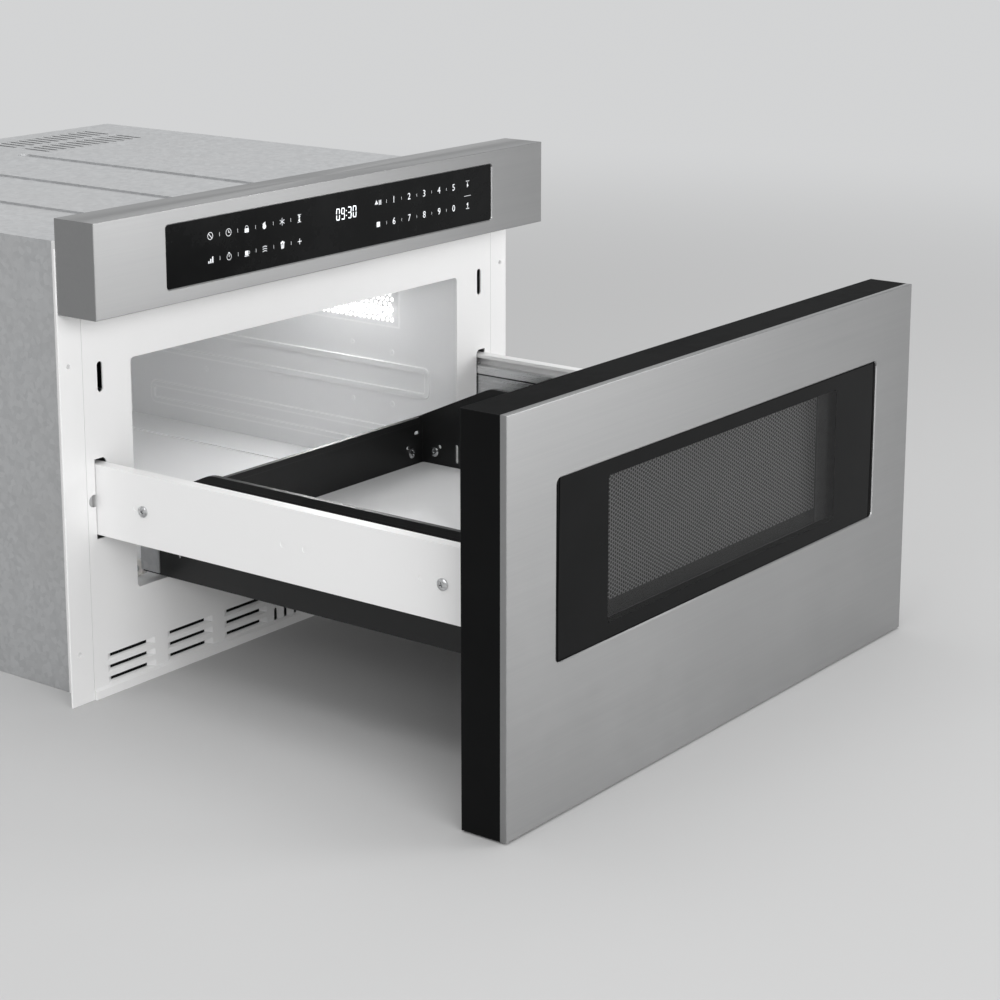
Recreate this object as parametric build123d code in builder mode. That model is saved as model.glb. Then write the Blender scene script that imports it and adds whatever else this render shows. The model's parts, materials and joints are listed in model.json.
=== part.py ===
from build123d import *
import os
from math import acos, cos, floor, pi, radians, sin, sqrt, tan

# Built-in microwave drawer, 24 inch class, drawn with its drawer fully open.
# Millimetres. X runs to the right, Y to the back, Z up.
# The origin is the centre of the chassis underside.

# ---------------------------------------------------------------- driving dimensions
# Chassis
front_width = 606.0
chassis_width = 557.0
chassis_height = 395.0
chassis_depth = 545.0
panel_t = 1.0
frame_t = 1.2
seam_gap = 0.4
base_flange = 14.0
panel_flange = 6.0
intake_slot = (28.0, 4.5)
intake_pitch_x = 40.0
intake_pitch_y = 30.0
intake_columns = 11
intake_setback = 75.0
side_vent_slot = (26.0, 5.0)
side_vent_pitch_y = 12.0
side_vent_pitch_z = 34.0
side_vent_columns = 10
side_vent_inset_y = 130.0
side_vent_inset_z = 46.0
cover_bead_xs = (-170.0, -60.0, 50.0)
cover_bead_width = 16.0
cover_bead_share = 0.6
top_vent_slot = (40.0, 5.0)
top_vent_pitch_x = 12.0
top_vent_pitch_y = 50.0
top_vent_columns = 12
top_vent_inset = 70.0
grille_slot = (18.0, 5.0)
grille_pitch_x = 24.0
grille_pitch_z = 11.0
grille_columns = 4
grille_rows = 9

# Control fascia and drawer front
fascia_height = 80.0
fascia_depth = 45.0
fascia_gap = 14.8
fascia_t = 1.2
door_height = 324.4
door_thickness = 41.8
door_floor_gap = 1.2
door_skin_t = 1.2
travel = 413.8

# Touch glass in the fascia
glass_width = 443.0
glass_height = 54.4
glass_t = 4.0
glass_lap = 6.0
bracket_clear = 0.2
post_r = 4.0
post_pitch_x = 125.0
post_pitch_z = 34.0
post_columns = 4
board_setback = 14.0
board_t = 1.6
board_length = 420.0
board_height = 50.0
board_part_h = 15.0
relay_size = (19.0, 16.0)
relay_xs = (-110.0, -80.0, 80.0)
buzzer_x = 130.0
buzzer_r = 7.0
glass_corner = 3.0
window_bevel = 0.9

# Window in the drawer front
window_width = 483.0
window_height = 142.8
window_corner = 5.0
window_glass_t = 4.0
window_glass_lap = 9.0
tunnel_width = 470.0
tunnel_height = 134.0
screen_width = 346.0
screen_height = 122.0
screen_setback = 22.8
screen_t = 0.6
screen_lap = 5.0

# Cavity
opening_width = 447.0
opening_height = 203.8
opening_z = 86.6
opening_corner = 4.0
cavity_depth = 462.0
cavity_t = 0.8
cavity_side_step = 0.5
cavity_floor_step = 3.2
cavity_ceiling_step = 2.0
floor_panel_width = 348.0
floor_panel_depth = 1.5
floor_panel_margin = 30.0

# Hairpin beads pressed into the cavity side walls
bead_width = 5.5
bead_height = 1.2
bead_corner = 7.0
bead_length = 396.0
bead_front = 35.0
upper_bead_rise = 89.4
upper_bead_height = 32.0
lower_bead_rise = 25.9
lower_bead_height = 24.0

# Round dimples in the same walls: (distance behind the frame, rise above the opening's lower edge)
dimple_height = 0.4
dimple_r = 5.5
dimple_places = ((83.5, 62.0), (83.5, 116.0), (345.8, 62.0))
small_dimple_r = 2.0
small_dimple_places = ((135.8, 61.0), (135.8, 121.0))

# Slots in the front frame
hook_x = 259.0
hook_slot_width = 6.2
hook_slot_height = 26.2
hook_slot_drop = 9.9
rail_slot_clear = 0.7
rail_slot_inner_clear = 2.0
rail_slot_height = 70.0
rail_slot_corner = 5.0
rail_notch_height = 10.8
rail_notch_clear = 0.6
rack_slot_clear = 2.0

# Louvres low in the front frame
louvre_width = 58.0
louvre_drop = 6.6
louvre_pitch_z = 10.5
louvre_rows = 3
louvre_top_z = 36.8
louvre_pitch_x = 72.0
louvre_first_x = 89.5
louvre_groups = 3
louvre_depth = 3.5
louvre_end = 11.0
louvre_mouth = 2.4
vent_slot_width = 4.7
vent_slot_height = 13.0
vent_slot_z = 14.6
vent_slot_pitch = 13.5
vent_slot_first_x = -49.5
vent_slot_count = 8
lip_height = 9.4
lip_proud = 2.2

# Side flanges that lap the cabinet
flange_overhang = 1.0
flange_t = 1.2
flange_leg = 30.0
flange_hole_inset = 10.4
flange_hole_r = 2.2
flange_hole_low_z = 45.0
flange_hole_high_z = 295.2

# Rails beside the drawer
rail_z = 175.8
rail_cover_x = 268.0
rail_cover_width = 11.0
rail_cover_height = 61.5
rail_cover_t = 1.2
rail_cover_lip = 2.2
slide_height = 42.0
slide_width = 12.2
slide_t = 1.0
slide_gap = 0.4
slide_length = 450.0
slide_front = 2.2
slide_outer_reach = 10.2
slide_middle_reach = 8.9
slide_inner_reach = 8.6
slide_lip = 1.4
race_height = 10.0
race_step = 0.8
rail_screw_z = 175.0
rail_screw_front = 44.4
rail_screw_spacing = 317.2
dimple_r = 2.5
dimple_depth = 0.5
dimple_setbacks = (65.8, 183.3, 206.6, 370.4)
bracket_t = 1.2
bracket_setback = 5.0
bracket_length = 447.0
bracket_foot = 15.0
bracket_over_slide = 2.2
bracket_window = (92.0, 76.0)
bracket_window_pitch = 112.0
bracket_window_count = 4
bracket_window_z = 78.0

# Screws, all one size
screw_head_r = 4.2
screw_head_h = 2.4
screw_shank_r = 2.0
screw_shank_length = 4.0
screw_clear = 0.2

# Drawer box
drawer_width = 390.0
drawer_wall_t = 1.5
drawer_top_z = 191.9
drawer_bottom_z = 90.4
drawer_rear = 439.0
back_wall_top_z = 152.9
ramp_length = 86.0
ramp_shoulder_r = 30.0
rim_t = 3.0
rim_height = 6.0
rim_notch = 9.0
front_tab = 12.0
front_tab_margin = 6.0
plate_t = 5.0
plate_top_z = 105.4
plate_clear = 0.8
plate_corner = 4.0
ledge_width = 10.0
box_hole_r = 1.9
back_hole_x = 170.0
back_hole_z = 123.6
back_oval_x = 184.1
back_oval_z = 136.4
back_oval = (7.0, 3.6)
back_screw_x = 175.6
back_screw_z = 117.3
side_hole_inset = 23.1
side_hole_z = 123.3
side_screw_inset = 17.2
side_screw_z = 117.8
side_slot_inset = 44.5
side_slot_z = 119.2
side_slot = (19.1, 3.4)

# Rear rollers and their brackets
roller_r = 7.0
roller_width = 5.8
roller_outer_x = 194.4
roller_float = 0.3
roller_pin_r = 2.5
roller_clear = 0.05
roller_behind = 9.0
roller_side_gap = 0.4
roller_arm_margin = 5.0
roller_clip_t = 1.0
corner_leg_x = 172.6
corner_leg_low_z = 92.0
corner_leg_high_z = 126.0
corner_side_leg = 20.7

# Drawer front
door_wall = 2.0
door_seam = 5.7
nest_clear = 0.2
choke_t = 1.0
choke_width = 492.0
choke_height = 236.6
choke_flange = 8.0
choke_slot = (20.0, 4.0)
choke_slot_pitch = 30.0
choke_columns = 15
choke_rows = 7
hook_t = 3.0
hook_height = 20.0
hook_length = 22.0
hook_base_width = 12.0
hook_base_t = 1.5

# Interlock switches behind the hook slots
switch_gap = 2.2
switch_size = (16.0, 16.0, 28.0)
switch_plate_t = 2.0
switch_plate_x = 244.0
switch_flange = 8.0

# Drive
gear_module = 1.75
pinion_teeth = 18
pinion_width = 14.0
pressure_angle = 20.0
backlash = 0.3
rack_width = 16.0
rack_height = 10.0
rack_top_z = 76.0
rack_overrun = 19.0
rack_flange_t = 2.4
rack_flange_width = 40.0
rack_flange_low_z = 56.0
rack_flange_high_z = 86.0
pinion_setback = 30.0
shaft_r = 4.0
shaft_left = 13.5
shaft_right = 18.0
running_clear = 0.05
drive_wall_t = 3.6
drive_wall_x = 9.0
drive_wall_length = 32.0
drive_guide_gap = 0.4
drive_foot = 14.0
gearbox_length = 56.0
gearbox_width = 31.4
gearbox_height = 48.0
gearbox_corner = 6.0
motor_r = 18.0
motor_length = 55.0
motor_boss_r = 6.0
motor_boss_length = 4.0

# Lamp behind the perforated window
lamp_window_front = 73.8
lamp_window_length = 150.0
lamp_window_drop = 35.5
lamp_window_height = 51.0
lamp_hole = 4.6
lamp_hole_pitch = 6.1
lamp_rim = 5.0
lamp_box_clear = 1.6
lamp_box_depth = 25.0
bulb_r = 9.5
bulb_length = 50.0
bulb_neck = 8.0
lamp_base_r = 7.0
lamp_base_length = 12.0
socket_flange_r = 11.0
socket_flange_t = 3.0
socket_r = 9.0
socket_length = 16.0

# Stirrer, waveguide and magnetron
stirrer_y = -40.0
dome_size = 140.0
dome_height = 18.0
dome_corner = 10.0
dome_port_r = 9.0
stirrer_r = 58.0
stirrer_hub_r = 8.0
stirrer_hub_h = 10.0
stirrer_lift = 3.6
stirrer_blades = 3
stirrer_blade_width = 20.0
stirrer_blade_t = 1.2
stirrer_blade_pitch = 18.0
stirrer_shaft_r = 3.0
stirrer_motor_r = 24.0
stirrer_motor_h = 16.0
stirrer_motor_ear = 10.0
stirrer_cover_t = 1.5
stirrer_cover_lap = 8.0
guide_width = 90.0
guide_height = 30.8
guide_left = 50.0
guide_right = 110.0
guide_t = 1.0
launcher_length = 40.0
launcher_top_z = 388.0
magnetron_length = 80.0
magnetron_width = 80.0
magnetron_height = 76.0
magnetron_z = 352.0
magnetron_yoke_t = 2.5
magnetron_seat = 2.0
magnet_r = 27.0
magnet_t = 12.0
anode_r = 18.0
fin_count = 7
fin_t = 1.0
fin_pitch = 7.0
fin_width = 60.0
antenna_r = 8.0
antenna_length = 20.0
antenna_seat_r = 15.0

# Cooling fan
fan_x = 150.0
fan_z = 300.0
fan_r = 55.0
fan_shroud_size = 124.0
fan_shroud_depth = 25.5
fan_tip_gap = 2.5
fan_hub_r = 16.0
fan_hub_depth = 18.0
fan_hub_gap = 2.0
fan_blades = 5
fan_chord = 22.0
fan_blade_t = 1.6
fan_root_pitch = 50.0
fan_tip_pitch = 28.0
fan_motor_r = 25.0
fan_motor_length = 34.0
fan_strut_width = 7.0
fan_strut_t = 3.5
fan_strut_count = 3
fan_strut_overlap = 1.0
fan_shaft_r = 2.5
fan_shaft_length = 12.0

# Transformer on the base, and the cord bush in the rear panel
transformer_x = -150.0
transformer_y = 60.0
core_size = (96.0, 50.0, 60.0)
coil_size = (58.0, 88.0, 38.0)
coil_corner = 12.0
core_foot = (124.0, 50.0, 2.0)
gland_x = -200.0
gland_z = 60.0
gland_r = 8.0
gland_flange_r = 12.0
gland_flange_t = 3.0
gland_nose_r = 9.5
gland_nose_length = 6.0
gland_nut_r = 13.0
gland_nut_t = 4.0
cord_r = 4.0

# ---------------------------------------------------------------- derived places
frame_y = -chassis_depth / 2
frame_back_y = frame_y + frame_t
chassis_rear_y = chassis_depth / 2
half_chassis = chassis_width / 2
half_front = front_width / 2
fascia_front_y = frame_y - fascia_depth
fascia_bottom_z = door_floor_gap + door_height + fascia_gap
fascia_top_z = fascia_bottom_z + fascia_height
glass_z = fascia_bottom_z + fascia_height / 2
glass_front_y = fascia_front_y + fascia_t

# The drawer is drawn open, so everything on it stands forward by the travel.
door_front_y = fascia_front_y - travel
door_back_y = door_front_y + door_thickness
door_bottom_z = door_floor_gap
door_top_z = door_bottom_z + door_height
door_z = (door_bottom_z + door_top_z) / 2
window_z = 194.4
screen_y = door_front_y + screen_setback

half_opening = opening_width / 2
opening_top_z = opening_z + opening_height
hook_slot_z = opening_top_z - hook_slot_drop
lamp_window_z = opening_top_z - lamp_window_drop
upper_bead_z = opening_z + upper_bead_rise
lower_bead_z = opening_z + lower_bead_rise
half_cavity = half_opening + cavity_side_step
cavity_floor_z = opening_z - cavity_floor_step
cavity_top_z = opening_top_z + cavity_ceiling_step
cavity_back_y = frame_back_y + cavity_depth
lamp_y = frame_back_y + lamp_window_front + lamp_window_length / 2

rail_web_x = rail_cover_x - rail_cover_t
slide_x = rail_web_x - slide_width
slide_y = frame_y + slide_front
half_slide = slide_height / 2
half_middle = half_slide - slide_t - slide_gap
half_inner = half_middle - slide_t - slide_gap
slide_open_y = slide_y - travel
slide_middle_y = slide_y - travel / 2
rail_screw_ys = (door_back_y + rail_screw_front, door_back_y + rail_screw_front + rail_screw_spacing)

half_drawer = drawer_width / 2
drawer_rear_y = door_back_y + drawer_rear
inner_drawer = half_drawer - drawer_wall_t
back_wall_y = drawer_rear_y - drawer_wall_t

pinion_r = gear_module * pinion_teeth / 2
pinion_y = frame_y + pinion_setback
tooth_pitch = pi * gear_module
rack_root_z = rack_top_z - rack_height
rack_pitch_z = rack_root_z - 1.25 * gear_module
pinion_z = rack_pitch_z - pinion_r
rack_rear_y = pinion_y + rack_overrun


def front_plane(y):
    """A vertical plane at y whose sketch reads X to the right and Z up; extrude it by -depth to go back."""
    return Plane.XZ.offset(-y)


def side_plane(x):
    """A vertical plane at x whose sketch reads Y to the right and Z up; it extrudes towards +X."""
    return Plane.YZ.offset(x)


def level_plane(z):
    """A level plane at z."""
    return Plane.XY.offset(z)


def span_rectangle(low_u, high_u, low_v, high_v, mode=Mode.ADD):
    """A rectangle between two corners of the sketch in work."""
    with Locations(((low_u + high_u) / 2, (low_v + high_v) / 2)):
        Rectangle(high_u - low_u, high_v - low_v, mode=mode)


def channel_points(web_x, toe_x, half_height, sheet_t):
    """Outline of a rail channel of one sheet thickness, web at web_x and flanges reaching toe_x."""
    web_inner_x = web_x + sheet_t if toe_x > web_x else web_x - sheet_t
    return [
        (web_x, rail_z - half_height),
        (toe_x, rail_z - half_height),
        (toe_x, rail_z - half_height + sheet_t),
        (web_inner_x, rail_z - half_height + sheet_t),
        (web_inner_x, rail_z + half_height - sheet_t),
        (toe_x, rail_z + half_height - sheet_t),
        (toe_x, rail_z + half_height),
        (web_x, rail_z + half_height),
    ]


def write_node(shape, node):
    """Labels one finished piece and writes it under its own name."""
    shape.label = node
    export_step(shape, f"parts/{node}.step")


def write_pair(shape, node):
    """Writes the right-hand piece and its mirror image on the left."""
    write_node(shape, f"{node}_right")
    write_node(mirror(shape, about=Plane.YZ), f"{node}_left")


os.makedirs("parts", exist_ok=True)

# ---------------------------------------------------------------- chassis sheet metal
# Base pan: a tray inside the side panels, open at the front and notched for their front flanges.
base_front_y = frame_back_y
base_rear_y = chassis_rear_y - 2 * panel_t
half_base = half_chassis - panel_t
with BuildPart() as base_pan:
    with BuildSketch(level_plane(0)):
        span_rectangle(-half_base, half_base, base_front_y, base_rear_y)
    extrude(amount=base_flange)
    open_faces = [base_pan.faces().sort_by(Axis.Z)[-1], base_pan.faces().sort_by(Axis.Y)[0]]
    offset(amount=-panel_t, openings=open_faces, kind=Kind.INTERSECTION)
    with BuildSketch(level_plane(0)):
        with Locations((-half_base, base_front_y), (half_base, base_front_y)):
            Rectangle(2 * panel_flange, 2 * panel_t)
    extrude(amount=base_flange, mode=Mode.SUBTRACT)
    # Intake slots in two rows along the front of the pan.
    with BuildSketch(level_plane(0)):
        with Locations((0, base_front_y + intake_setback)):
            with GridLocations(intake_pitch_x, intake_pitch_y, intake_columns, 2):
                SlotOverall(*intake_slot)
    extrude(amount=panel_t, mode=Mode.SUBTRACT)
base_pan.part.label = "base_pan"
export_step(base_pan.part, "parts/base_pan.step")

# Side panel: a sheet with front, rear and top flanges turned inwards.
side_front_y = frame_back_y
side_rear_y = chassis_rear_y - panel_t
side_top_z = chassis_height - panel_t
with BuildPart() as side_panel:
    with BuildSketch(side_plane(half_chassis - panel_t - panel_flange)):
        span_rectangle(side_front_y, side_rear_y, 0, side_top_z)
    extrude(amount=panel_t + panel_flange)
    open_faces = [side_panel.faces().sort_by(Axis.X)[0], side_panel.faces().sort_by(Axis.Z)[0]]
    offset(amount=-panel_t, openings=open_faces, kind=Kind.INTERSECTION)
    # Vent slots beside the magnetron.
    with BuildSketch(side_plane(half_chassis - panel_t)):
        with Locations((side_rear_y - side_vent_inset_y, side_top_z - side_vent_inset_z)):
            with GridLocations(side_vent_pitch_y, side_vent_pitch_z, side_vent_columns, 2):
                SlotOverall(*side_vent_slot, rotation=90)
    extrude(amount=panel_t, mode=Mode.SUBTRACT)
write_pair(side_panel.part, "side_panel")

# Top cover with stiffening beads and vent slots.
with BuildPart() as top_cover:
    with BuildSketch(level_plane(side_top_z)):
        span_rectangle(-half_chassis, half_chassis, side_front_y, side_rear_y)
    extrude(amount=panel_t)
    with BuildSketch(level_plane(side_top_z)):
        with Locations([(x, 0) for x in cover_bead_xs]):
            SlotOverall(cover_bead_share * chassis_depth, cover_bead_width, rotation=90)
    extrude(amount=-2 * panel_t)
    with BuildSketch(level_plane(side_top_z + panel_t)):
        with Locations([(x, 0) for x in cover_bead_xs]):
            SlotOverall(
                cover_bead_share * chassis_depth - 2 * panel_t, cover_bead_width - 2 * panel_t, rotation=90
            )
    extrude(amount=-2 * panel_t, mode=Mode.SUBTRACT)
    with BuildSketch(level_plane(side_top_z)):
        with Locations((fan_x, side_rear_y - top_vent_inset)):
            with GridLocations(top_vent_pitch_x, top_vent_pitch_y, top_vent_columns, 2):
                SlotOverall(*top_vent_slot, rotation=90)
    extrude(amount=panel_t, mode=Mode.SUBTRACT)
top_cover.part.label = "top_cover"
export_step(top_cover.part, "parts/top_cover.step")

# Rear panel with the fan grille and the hole for the cord bush.
with BuildPart() as rear_panel:
    with BuildSketch(front_plane(side_rear_y)):
        span_rectangle(-half_chassis, half_chassis, 0, chassis_height)
        with Locations((gland_x, gland_z)):
            Circle(gland_r + screw_clear, mode=Mode.SUBTRACT)
        with Locations((fan_x, fan_z)):
            with GridLocations(grille_pitch_x, grille_pitch_z, grille_columns, grille_rows):
                SlotOverall(*grille_slot, mode=Mode.SUBTRACT)
    extrude(amount=-panel_t)
rear_panel.part.label = "rear_panel"
export_step(rear_panel.part, "parts/rear_panel.step")

# ---------------------------------------------------------------- white front frame
half_frame = half_chassis - seam_gap
rail_slot_outer_x = rail_cover_x + rail_slot_clear
rail_slot_inner_x = rail_cover_x - rail_cover_width - rail_slot_inner_clear
rack_slot_half = rack_width / 2 + rack_slot_clear
rack_slot_low_z = rack_root_z - 2.25 * gear_module - rack_slot_clear
rack_slot_high_z = rack_top_z + rack_slot_clear


louvre_centres = []
for group in range(louvre_groups):
    for row in range(louvre_rows):
        x = louvre_first_x + group * louvre_pitch_x
        z = louvre_top_z - row * louvre_pitch_z
        louvre_centres.extend([(-x, 0, z), (x, 0, z)])

# One louvre as two solids: the metal that stands behind the sheet, and the hollow pressed into its front.
# Each is lofted from the louvre's outline in the sheet to its narrow inner lip.
louvre_half = louvre_width / 2
louvre_lip_half = louvre_half - louvre_end
with BuildPart() as louvre_metal:
    with BuildSketch(front_plane(frame_y)):
        span_rectangle(-louvre_half, louvre_half, -louvre_drop, 0)
    with BuildSketch(front_plane(frame_back_y + louvre_depth)):
        span_rectangle(-louvre_lip_half, louvre_lip_half, -louvre_mouth - frame_t, 0)
    loft(ruled=True)
with BuildPart() as louvre_hollow:
    with BuildSketch(front_plane(frame_y)):
        span_rectangle(-louvre_half + frame_t / 2, louvre_half - frame_t / 2, -louvre_drop + frame_t / 2, 0)
    with BuildSketch(front_plane(frame_y + louvre_depth)):
        span_rectangle(-louvre_lip_half, louvre_lip_half, -louvre_mouth, 0)
    loft(ruled=True)
    with BuildSketch(front_plane(frame_y)):
        span_rectangle(-louvre_lip_half, louvre_lip_half, -louvre_mouth, 0)
    extrude(amount=-(louvre_depth + 2 * frame_t))

with BuildPart() as front_frame:
    with BuildSketch(front_plane(frame_y)):
        span_rectangle(-half_frame, half_frame, 0, chassis_height)
        with Locations((0, opening_z + opening_height / 2)):
            RectangleRounded(opening_width, opening_height, opening_corner, mode=Mode.SUBTRACT)
        with Locations((-hook_x, hook_slot_z), (hook_x, hook_slot_z)):
            SlotOverall(hook_slot_height, hook_slot_width, rotation=90, mode=Mode.SUBTRACT)
        span_rectangle(-rack_slot_half, rack_slot_half, rack_slot_low_z, rack_slot_high_z, Mode.SUBTRACT)
        with Locations((vent_slot_first_x + vent_slot_pitch * (vent_slot_count - 1) / 2, vent_slot_z)):
            with GridLocations(vent_slot_pitch, 1, vent_slot_count, 1):
                SlotOverall(vent_slot_height, vent_slot_width, rotation=90, mode=Mode.SUBTRACT)
    extrude(amount=-frame_t)
    # Rail slots: the upper inner corner is rounded, and a notch on the outer side clears the screw heads.
    for side in (-1, 1):
        with BuildSketch(front_plane(frame_y)):
            inner = side * rail_slot_inner_x
            outer = side * rail_slot_outer_x
            low_z = rail_z - rail_slot_height / 2
            span_rectangle(min(inner, outer), max(inner, outer), low_z, low_z + rail_slot_height)
            corner = vertices().sort_by(Axis.Y)[-2:].sort_by(Axis.X)[0 if side > 0 else -1]
            fillet(corner, rail_slot_corner)
            with Locations((side * rail_cover_x, rail_screw_z)):
                SlotOverall(2 * (screw_head_h + rail_notch_clear) + rail_notch_height, rail_notch_height)
        extrude(amount=-frame_t, mode=Mode.SUBTRACT)
    # Rolled lip along the bottom edge.
    with BuildSketch(side_plane(-half_frame)):
        with BuildLine():
            Polyline(
                (frame_y, 0),
                (frame_y, lip_height),
                (frame_y - lip_proud, lip_height - lip_proud),
                (frame_y - lip_proud, 0),
                close=True,
            )
        make_face()
    extrude(amount=2 * half_frame)
    # Louvres.
    with Locations(*louvre_centres):
        add(louvre_metal.part)
    with Locations(*louvre_centres):
        add(louvre_hollow.part, mode=Mode.SUBTRACT)
front_frame.part.label = "front_frame"
export_step(front_frame.part, "parts/front_frame.step")

# Side flange: an angle that laps the cabinet front, with two screw holes.
flange_edge_x = front_width / 2 + flange_overhang
flange_hole_x = flange_edge_x - flange_hole_inset
with BuildPart() as mount_flange:
    with BuildSketch(level_plane(0)):
        with BuildLine():
            Polyline(
                (half_chassis, frame_y),
                (flange_edge_x, frame_y),
                (flange_edge_x, frame_y + flange_t),
                (half_chassis + flange_t, frame_y + flange_t),
                (half_chassis + flange_t, frame_y + flange_leg),
                (half_chassis, frame_y + flange_leg),
                close=True,
            )
        make_face()
    extrude(amount=chassis_height)
    with BuildSketch(front_plane(frame_y)):
        with Locations((flange_hole_x, flange_hole_low_z), (flange_hole_x, flange_hole_high_z)):
            Circle(flange_hole_r)
    extrude(amount=-flange_t, mode=Mode.SUBTRACT)
    fillet(mount_flange.edges().filter_by(Axis.Z).group_by(Axis.Y)[0].sort_by(Axis.X)[-1], flange_t / 2)
write_pair(mount_flange.part, "mount_flange")

# ---------------------------------------------------------------- control fascia
fascia_window_width = glass_width
fascia_window_height = glass_height
with BuildPart() as control_fascia:
    with BuildSketch(front_plane(fascia_front_y)):
        span_rectangle(-half_front, half_front, fascia_bottom_z, fascia_top_z)
    extrude(amount=-fascia_depth)
    offset(amount=-fascia_t, openings=control_fascia.faces().sort_by(Axis.Y)[-1], kind=Kind.INTERSECTION)
    fillet(control_fascia.faces().sort_by(Axis.Y)[0].edges(), fascia_t / 2)
    with BuildSketch(front_plane(fascia_front_y)):
        with Locations((0, glass_z)):
            RectangleRounded(fascia_window_width, fascia_window_height, glass_corner)
    extrude(amount=-fascia_t, mode=Mode.SUBTRACT)
    window_rim = control_fascia.faces().sort_by(Axis.Y)[0].inner_wires()[0].edges()
    chamfer(window_rim, window_bevel)
control_fascia.part.label = "control_fascia"
export_step(control_fascia.part, "parts/control_fascia.step")

# Touch glass, clamped behind the window.
with BuildPart() as control_glass:
    with BuildSketch(front_plane(glass_front_y)):
        with Locations((0, glass_z)):
            RectangleRounded(
                fascia_window_width + 2 * glass_lap,
                fascia_window_height + 2 * glass_lap,
                glass_corner + glass_lap / 2,
            )
    extrude(amount=-glass_t)
control_glass.part.label = "control_glass"
export_step(control_glass.part, "parts/control_glass.step")

# Bracket that closes the fascia at the back and carries the board on eight posts.
bracket_front_y = frame_y - bracket_t
board_front_y = fascia_front_y + board_setback
board_back_y = board_front_y + board_t
with BuildPart() as fascia_bracket:
    with BuildSketch(front_plane(bracket_front_y)):
        with Locations((0, glass_z)):
            inset = 2 * fascia_t + 2 * bracket_clear
            Rectangle(front_width - inset, fascia_height - inset)
    extrude(amount=-bracket_t)
    with BuildSketch(front_plane(bracket_front_y)):
        with Locations((0, glass_z)):
            with GridLocations(post_pitch_x, post_pitch_z, post_columns, 2):
                Circle(post_r)
    extrude(amount=bracket_front_y - board_back_y)
fascia_bracket.part.label = "fascia_bracket"
export_step(fascia_bracket.part, "parts/fascia_bracket.step")

# Control board with its relays and buzzer on the back.
with BuildPart() as control_board:
    with BuildSketch(front_plane(board_front_y)):
        with Locations((0, glass_z)):
            Rectangle(board_length, board_height)
    extrude(amount=-board_t)
    with BuildSketch(front_plane(board_back_y)):
        with Locations([(x, glass_z) for x in relay_xs]):
            Rectangle(*relay_size)
        with Locations((buzzer_x, glass_z)):
            Circle(buzzer_r)
    extrude(amount=-board_part_h)
control_board.part.label = "control_board"
export_step(control_board.part, "parts/control_board.step")

# ---------------------------------------------------------------- cavity
# A side wall with two hairpin beads and a few round dimples pressed inwards; the right one also has
# the lamp window.
bead_y = frame_back_y + bead_front + bead_length / 2
wall_low_z = cavity_floor_z - cavity_t
wall_high_z = cavity_top_z + cavity_t
with BuildPart() as plain_wall:
    with BuildSketch(side_plane(half_cavity)):
        span_rectangle(frame_back_y, cavity_back_y + cavity_t, wall_low_z, wall_high_z)
    extrude(amount=cavity_t)
    with BuildSketch(side_plane(half_cavity)):
        inner_length = bead_length - 2 * bead_width
        inner_corner = bead_corner - bead_width
        for bead_z, height in ((upper_bead_z, upper_bead_height), (lower_bead_z, lower_bead_height)):
            with Locations((bead_y, bead_z)):
                RectangleRounded(bead_length, height, bead_corner)
                RectangleRounded(inner_length, height - 2 * bead_width, inner_corner, mode=Mode.SUBTRACT)
    extrude(amount=-bead_height)
    with BuildSketch(side_plane(half_cavity)):
        with Locations([(frame_back_y + depth, opening_z + rise) for depth, rise in dimple_places]):
            Circle(dimple_r)
        with Locations([(frame_back_y + depth, opening_z + rise) for depth, rise in small_dimple_places]):
            Circle(small_dimple_r)
    extrude(amount=-dimple_height)
write_node(mirror(plain_wall.part, about=Plane.YZ), "cavity_wall_left")

with BuildPart() as window_wall:
    add(plain_wall.part)
    with BuildSketch(side_plane(half_cavity)):
        with Locations((lamp_y, lamp_window_z)):
            Rectangle(lamp_window_length, lamp_window_height)
    extrude(amount=cavity_t, mode=Mode.SUBTRACT)
write_node(window_wall.part, "cavity_wall_right")

# Perforated insert in the lamp window, with its rim on the outside of the wall.
hole_columns = floor((lamp_window_length - 2 * lamp_rim) / lamp_hole_pitch)
hole_rows = floor((lamp_window_height - lamp_rim) / (lamp_hole_pitch * sqrt(3) / 2))
with BuildPart() as lamp_grille:
    with BuildSketch(side_plane(half_cavity)):
        with Locations((lamp_y, lamp_window_z)):
            Rectangle(lamp_window_length - 2 * screw_clear, lamp_window_height - 2 * screw_clear)
    extrude(amount=cavity_t)
    with BuildSketch(side_plane(half_cavity + cavity_t)):
        with Locations((lamp_y, lamp_window_z)):
            Rectangle(lamp_window_length + 2 * lamp_rim, lamp_window_height + 2 * lamp_rim)
    extrude(amount=cavity_t)
    with BuildSketch(side_plane(half_cavity)):
        with Locations((lamp_y, lamp_window_z)):
            for row in range(hole_rows):
                shift = lamp_hole_pitch / 2 * (row % 2) - lamp_hole_pitch / 4
                row_z = (row - (hole_rows - 1) / 2) * lamp_hole_pitch * sqrt(3) / 2
                with Locations((shift, row_z)):
                    with GridLocations(lamp_hole_pitch, 1, hole_columns, 1):
                        RegularPolygon(lamp_hole / 2, 6)
    extrude(amount=2 * cavity_t, mode=Mode.SUBTRACT)
lamp_grille.part.label = "lamp_grille"
export_step(lamp_grille.part, "parts/lamp_grille.step")

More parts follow.
